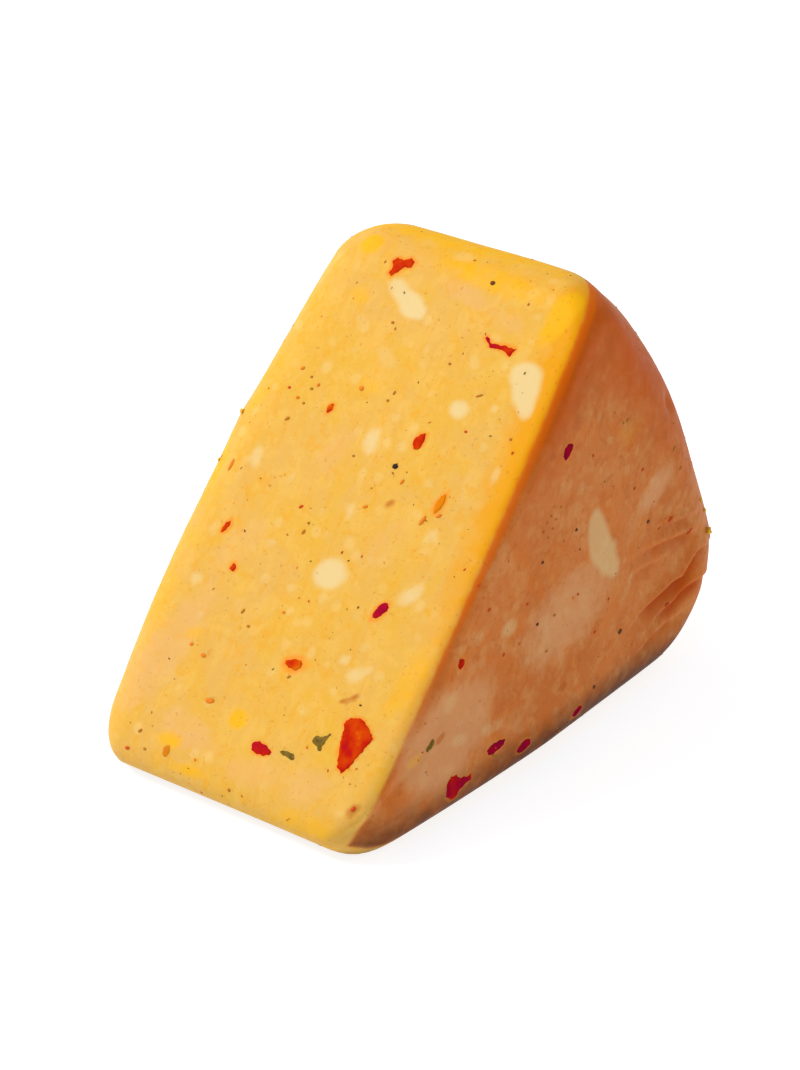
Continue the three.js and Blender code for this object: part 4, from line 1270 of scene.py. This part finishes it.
def stand_camera(scene, setup):
    """Stands the camera round the wedge's middle, aims it a little past that, and rolls it."""
    middle = Vector(bpy.data.objects["cheese"]["tip_edge"]) + Vector(WEDGE_MIDDLE)
    back = toward(setup.azimuth, setup.elevation)
    right = Vector((math.cos(setup.azimuth), math.sin(setup.azimuth), 0))
    aim = middle - right * AIM_LEFT + back.cross(right) * AIM_ABOVE
    eye = middle + back * setup.distance
    back = (eye - aim).normalized()
    right = Vector((-back.y, back.x, 0)).normalized()
    up = back.cross(right)
    sine, cosine = math.sin(setup.roll), math.cos(setup.roll)
    axes = (right * cosine + up * sine, up * cosine - right * sine, back)
    lens = bpy.data.cameras.new("camera")
    lens.lens, lens.sensor_width, lens.clip_start = setup.lens, 36, 0.01
    camera = bpy.data.objects.new("camera", lens)
    camera.matrix_world = Matrix.Translation(eye) @ Matrix(axes).transposed().to_4x4()
    scene.collection.objects.link(camera)
    scene.camera = camera


# ---- Operators ----

class PieceOperator(bpy.types.Operator):
    """One step of the wedge's making, which can be undone"""

    bl_options = {"REGISTER", "UNDO"}


class CHEESE_OT_paste(PieceOperator):
    """Makes the wedge of paste, with its folds, dents and lumps of curd"""

    bl_idname = "cheese.paste"
    bl_label = "Cheese paste"

    def execute(self, context):
        shape, relief = context.scene.cheese_shape, context.scene.cheese_relief
        points, faces = smooth_skin(shape)
        marks = paste_marks(points, shape)
        moved, marks["crease"], marks["free"] = sculpted(points, shape)
        moved[np.abs(points[:, 2]) < 0.02 * MM, 2] = 0  # the underside lies flat on the table
        low, high = points.min(0), points.max(0)
        box_low, box_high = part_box(PASTE)
        middle = (box_low + box_high) / 2
        tip_edge = Vector((middle.x - (low[0] + high[0]) / 2, middle.y - (low[1] + high[1]) / 2, 0))
        cheese = new_piece("cheese", moved + np.array(tip_edge), faces)
        store(cheese, marks)
        made_by(cheese, relief_tree(pressed_paste(context.scene.cheese_colours)), {
            "Swell height": relief.swell_height, "Swell size": relief.swell_size,
            "Knobble height": relief.knobble_height, "Knobble size": relief.knobble_size,
        })
        cheese.data.attributes.remove(cheese.data.attributes["free"])
        cheese.data.shade_smooth()
        cheese["tip_edge"] = tip_edge
        fasten(cheese, "paste", PASTE)
        return {"FINISHED"}


class CHEESE_OT_chilli(PieceOperator):
    """Lets the flakes of chilli and the piece of dried pepper into the paste"""

    bl_idname = "cheese.chilli"
    bl_label = "Chilli and pepper flakes"

    def execute(self, context):
        ground = Ground(context.scene.cheese_shape)
        skin = finish_for("chilli")
        for seed, (node, (face, place, outline, _, tone)) in enumerate(CHILLI.items()):
            large = node == "pepper_piece"
            piece = flake(ground, "dried_" + node, ground.seat(face, place), outline, skin, seed,
                          proud=0.1 if large else 0.08, thick=0.45, crumple=0.05)
            store(piece, {"tone": np.full(len(piece.data.vertices), tone)})
            fasten(piece, "chilli", node)
        return {"FINISHED"}


class CHEESE_OT_herbs(PieceOperator):
    """Lets the bits of herb leaf into the paste"""

    bl_idname = "cheese.herbs"
    bl_label = "Herb leaves"

    def execute(self, context):
        ground = Ground(context.scene.cheese_shape)
        leaf = finish_for("herb")
        for seed, (node, (face, place, outline)) in enumerate(HERBS.items()):
            piece = flake(ground, "leaf_" + node, ground.seat(face, place), outline, leaf, 40 + seed,
                          proud=0.08, thick=0.4, crumple=0.08, jitter=0.2, step=0.18)
            store(piece, {"tone": np.full(len(piece.data.vertices), 0.5)})
            fasten(piece, "herb", node)
        return {"FINISHED"}


class CHEESE_OT_grains(PieceOperator):
    """Lets the chilli seeds and the crushed peppercorns into the paste"""

    bl_idname = "cheese.grains"
    bl_label = "Seeds and peppercorns"

    def execute(self, context):
        ground = Ground(context.scene.cheese_shape)
        for seed, (node, (face, place, size, slot)) in enumerate(GRAINS.items()):
            seat = ground.seat(face, place)
            halves = [s / 2 * MM for s in size]
            crushed = slot == "peppercorn"
            points, faces = rough_ball(halves, 0.5 if crushed else 0.12, 60 + seed, 2.2 if crushed else 1)
            sink = Matrix.Translation((0, 0, -(0.5 if crushed else 0.55) * halves[2]))
            points = [seat @ sink @ p for p in points]
            piece = new_piece("whole_" + node, points, faces, finish_for(slot))
            store(piece, {"tone": np.full(len(points), 0.5)})
            fasten(piece, slot, node)
        return {"FINISHED"}


class CHEESE_OT_spice(PieceOperator):
    """Scatters ground spice over the paste, and puts the larger bits in their places"""

    bl_idname = "cheese.spice"
    bl_label = "Ground spice"

    def execute(self, context):
        mix = context.scene.cheese_spice
        ground = Ground(context.scene.cheese_shape)
        dust = spice_dust()
        scattered = bpy.data.objects.new("spice_scattered", bpy.data.objects["cheese"].data.copy())
        context.scene.collection.objects.link(scattered)
        made_by(scattered, scatter_tree(dust), {
            "Density": mix.density, "Smallest": mix.smallest, "Largest": mix.largest, "Seed": mix.seed,
        })
        points, sizes, turns, kinds = [], [], [], []
        for face, place, long, wide, turn, kind in SPICE_BITS:
            seat = turned(ground.seat(face, place), turn)
            points.append(ground.above(seat, 0, 0, 0))
            sizes.append((long * MM, wide * MM, 0.3 * MM))
            turns.append(tuple(seat.to_euler("XYZ")))
            kinds.append(kind)
        placed = new_piece("spice_placed", points, [])
        store(placed, {"size": sizes, "turn": turns}, "FLOAT_VECTOR")
        store(placed, {"kind": kinds})
        made_by(placed, placing_tree(dust), {"Roundness": 2})
        for piece in (scattered, placed):
            piece.data.shade_smooth()
            fasten(piece, "peppercorn")
        return {"FINISHED"}


class CHEESE_OT_crumbs(PieceOperator):
    """Presses the few crumbs that stand out of the skin onto it"""

    bl_idname = "cheese.crumbs"
    bl_label = "Crumbs"

    def execute(self, context):
        ground = Ground(context.scene.cheese_shape)
        points, faces = [], []
        for seed, (place, size) in enumerate(CRUMBS):
            target = Vector(place) * MM + ground.tip_edge
            hit, out, _, _ = ground.tree.find_nearest(target)
            turn = out.to_track_quat("Z", "Y").to_matrix().to_4x4()
            halves = (0.5 * size * MM, 0.36 * size * MM, 0.34 * size * MM)
            ball, quads = rough_ball(halves, 0.7, 80 + seed, 1.8)
            faces += [[i + len(points) for i in face] for face in quads]
            points += [Matrix.Translation(hit + out * 0.1 * size * MM) @ turn @ p for p in ball]
        crumbs = new_piece("crumbs", points, faces, bpy.data.materials["pressed_annatto_cheese"])
        store(crumbs, {"rich": np.full(len(points), 0.6)})
        fasten(crumbs, "paste")
        return {"FINISHED"}


class CHEESE_OT_stage(PieceOperator):
    """Lays the floor and sets up the camera and the light"""

    bl_idname = "cheese.stage"
    bl_label = "Floor, light and camera"

    def execute(self, context):
        scene, setup = context.scene, context.scene.cheese_stage
        lay_floor()
        hang_soft_box(scene, setup.key_power)
        whiten_room(scene, setup.sky)
        stand_camera(scene, setup)
        scene.view_settings.view_transform = "Standard"
        return {"FINISHED"}


OPERATORS = [
    CHEESE_OT_paste, CHEESE_OT_chilli, CHEESE_OT_herbs, CHEESE_OT_grains, CHEESE_OT_spice,
    CHEESE_OT_crumbs, CHEESE_OT_stage,
]


class CHEESE_PT_panel(bpy.types.Panel):
    """Lists the wedge's sizes and colours, and the steps that make it"""

    bl_idname = "CHEESE_PT_panel"
    bl_label = "Cheese wedge"
    bl_space_type = "VIEW_3D"
    bl_region_type = "UI"
    bl_category = "Cheese"

    def draw(self, context):
        for operator in OPERATORS:
            self.layout.operator(operator.bl_idname)
        for name, group in SETTINGS.items():
            box = self.layout.box()
            box.label(text=group.__doc__)
            for value in group.__annotations__:
                box.prop(getattr(context.scene, name), value)


def register():
    for group in (*SETTINGS.values(), *OPERATORS, CHEESE_PT_panel):
        bpy.utils.register_class(group)
    for name, group in SETTINGS.items():
        setattr(bpy.types.Scene, name, bpy.props.PointerProperty(type=group))


def unregister():
    for name in SETTINGS:
        delattr(bpy.types.Scene, name)
    for group in (CHEESE_PT_panel, *reversed(OPERATORS), *reversed(SETTINGS.values())):
        bpy.utils.unregister_class(group)


def main():
    register()
    for operator in OPERATORS:
        group, name = operator.bl_idname.split(".")
        getattr(getattr(bpy.ops, group), name)()


if __name__ == "__main__":
    main()
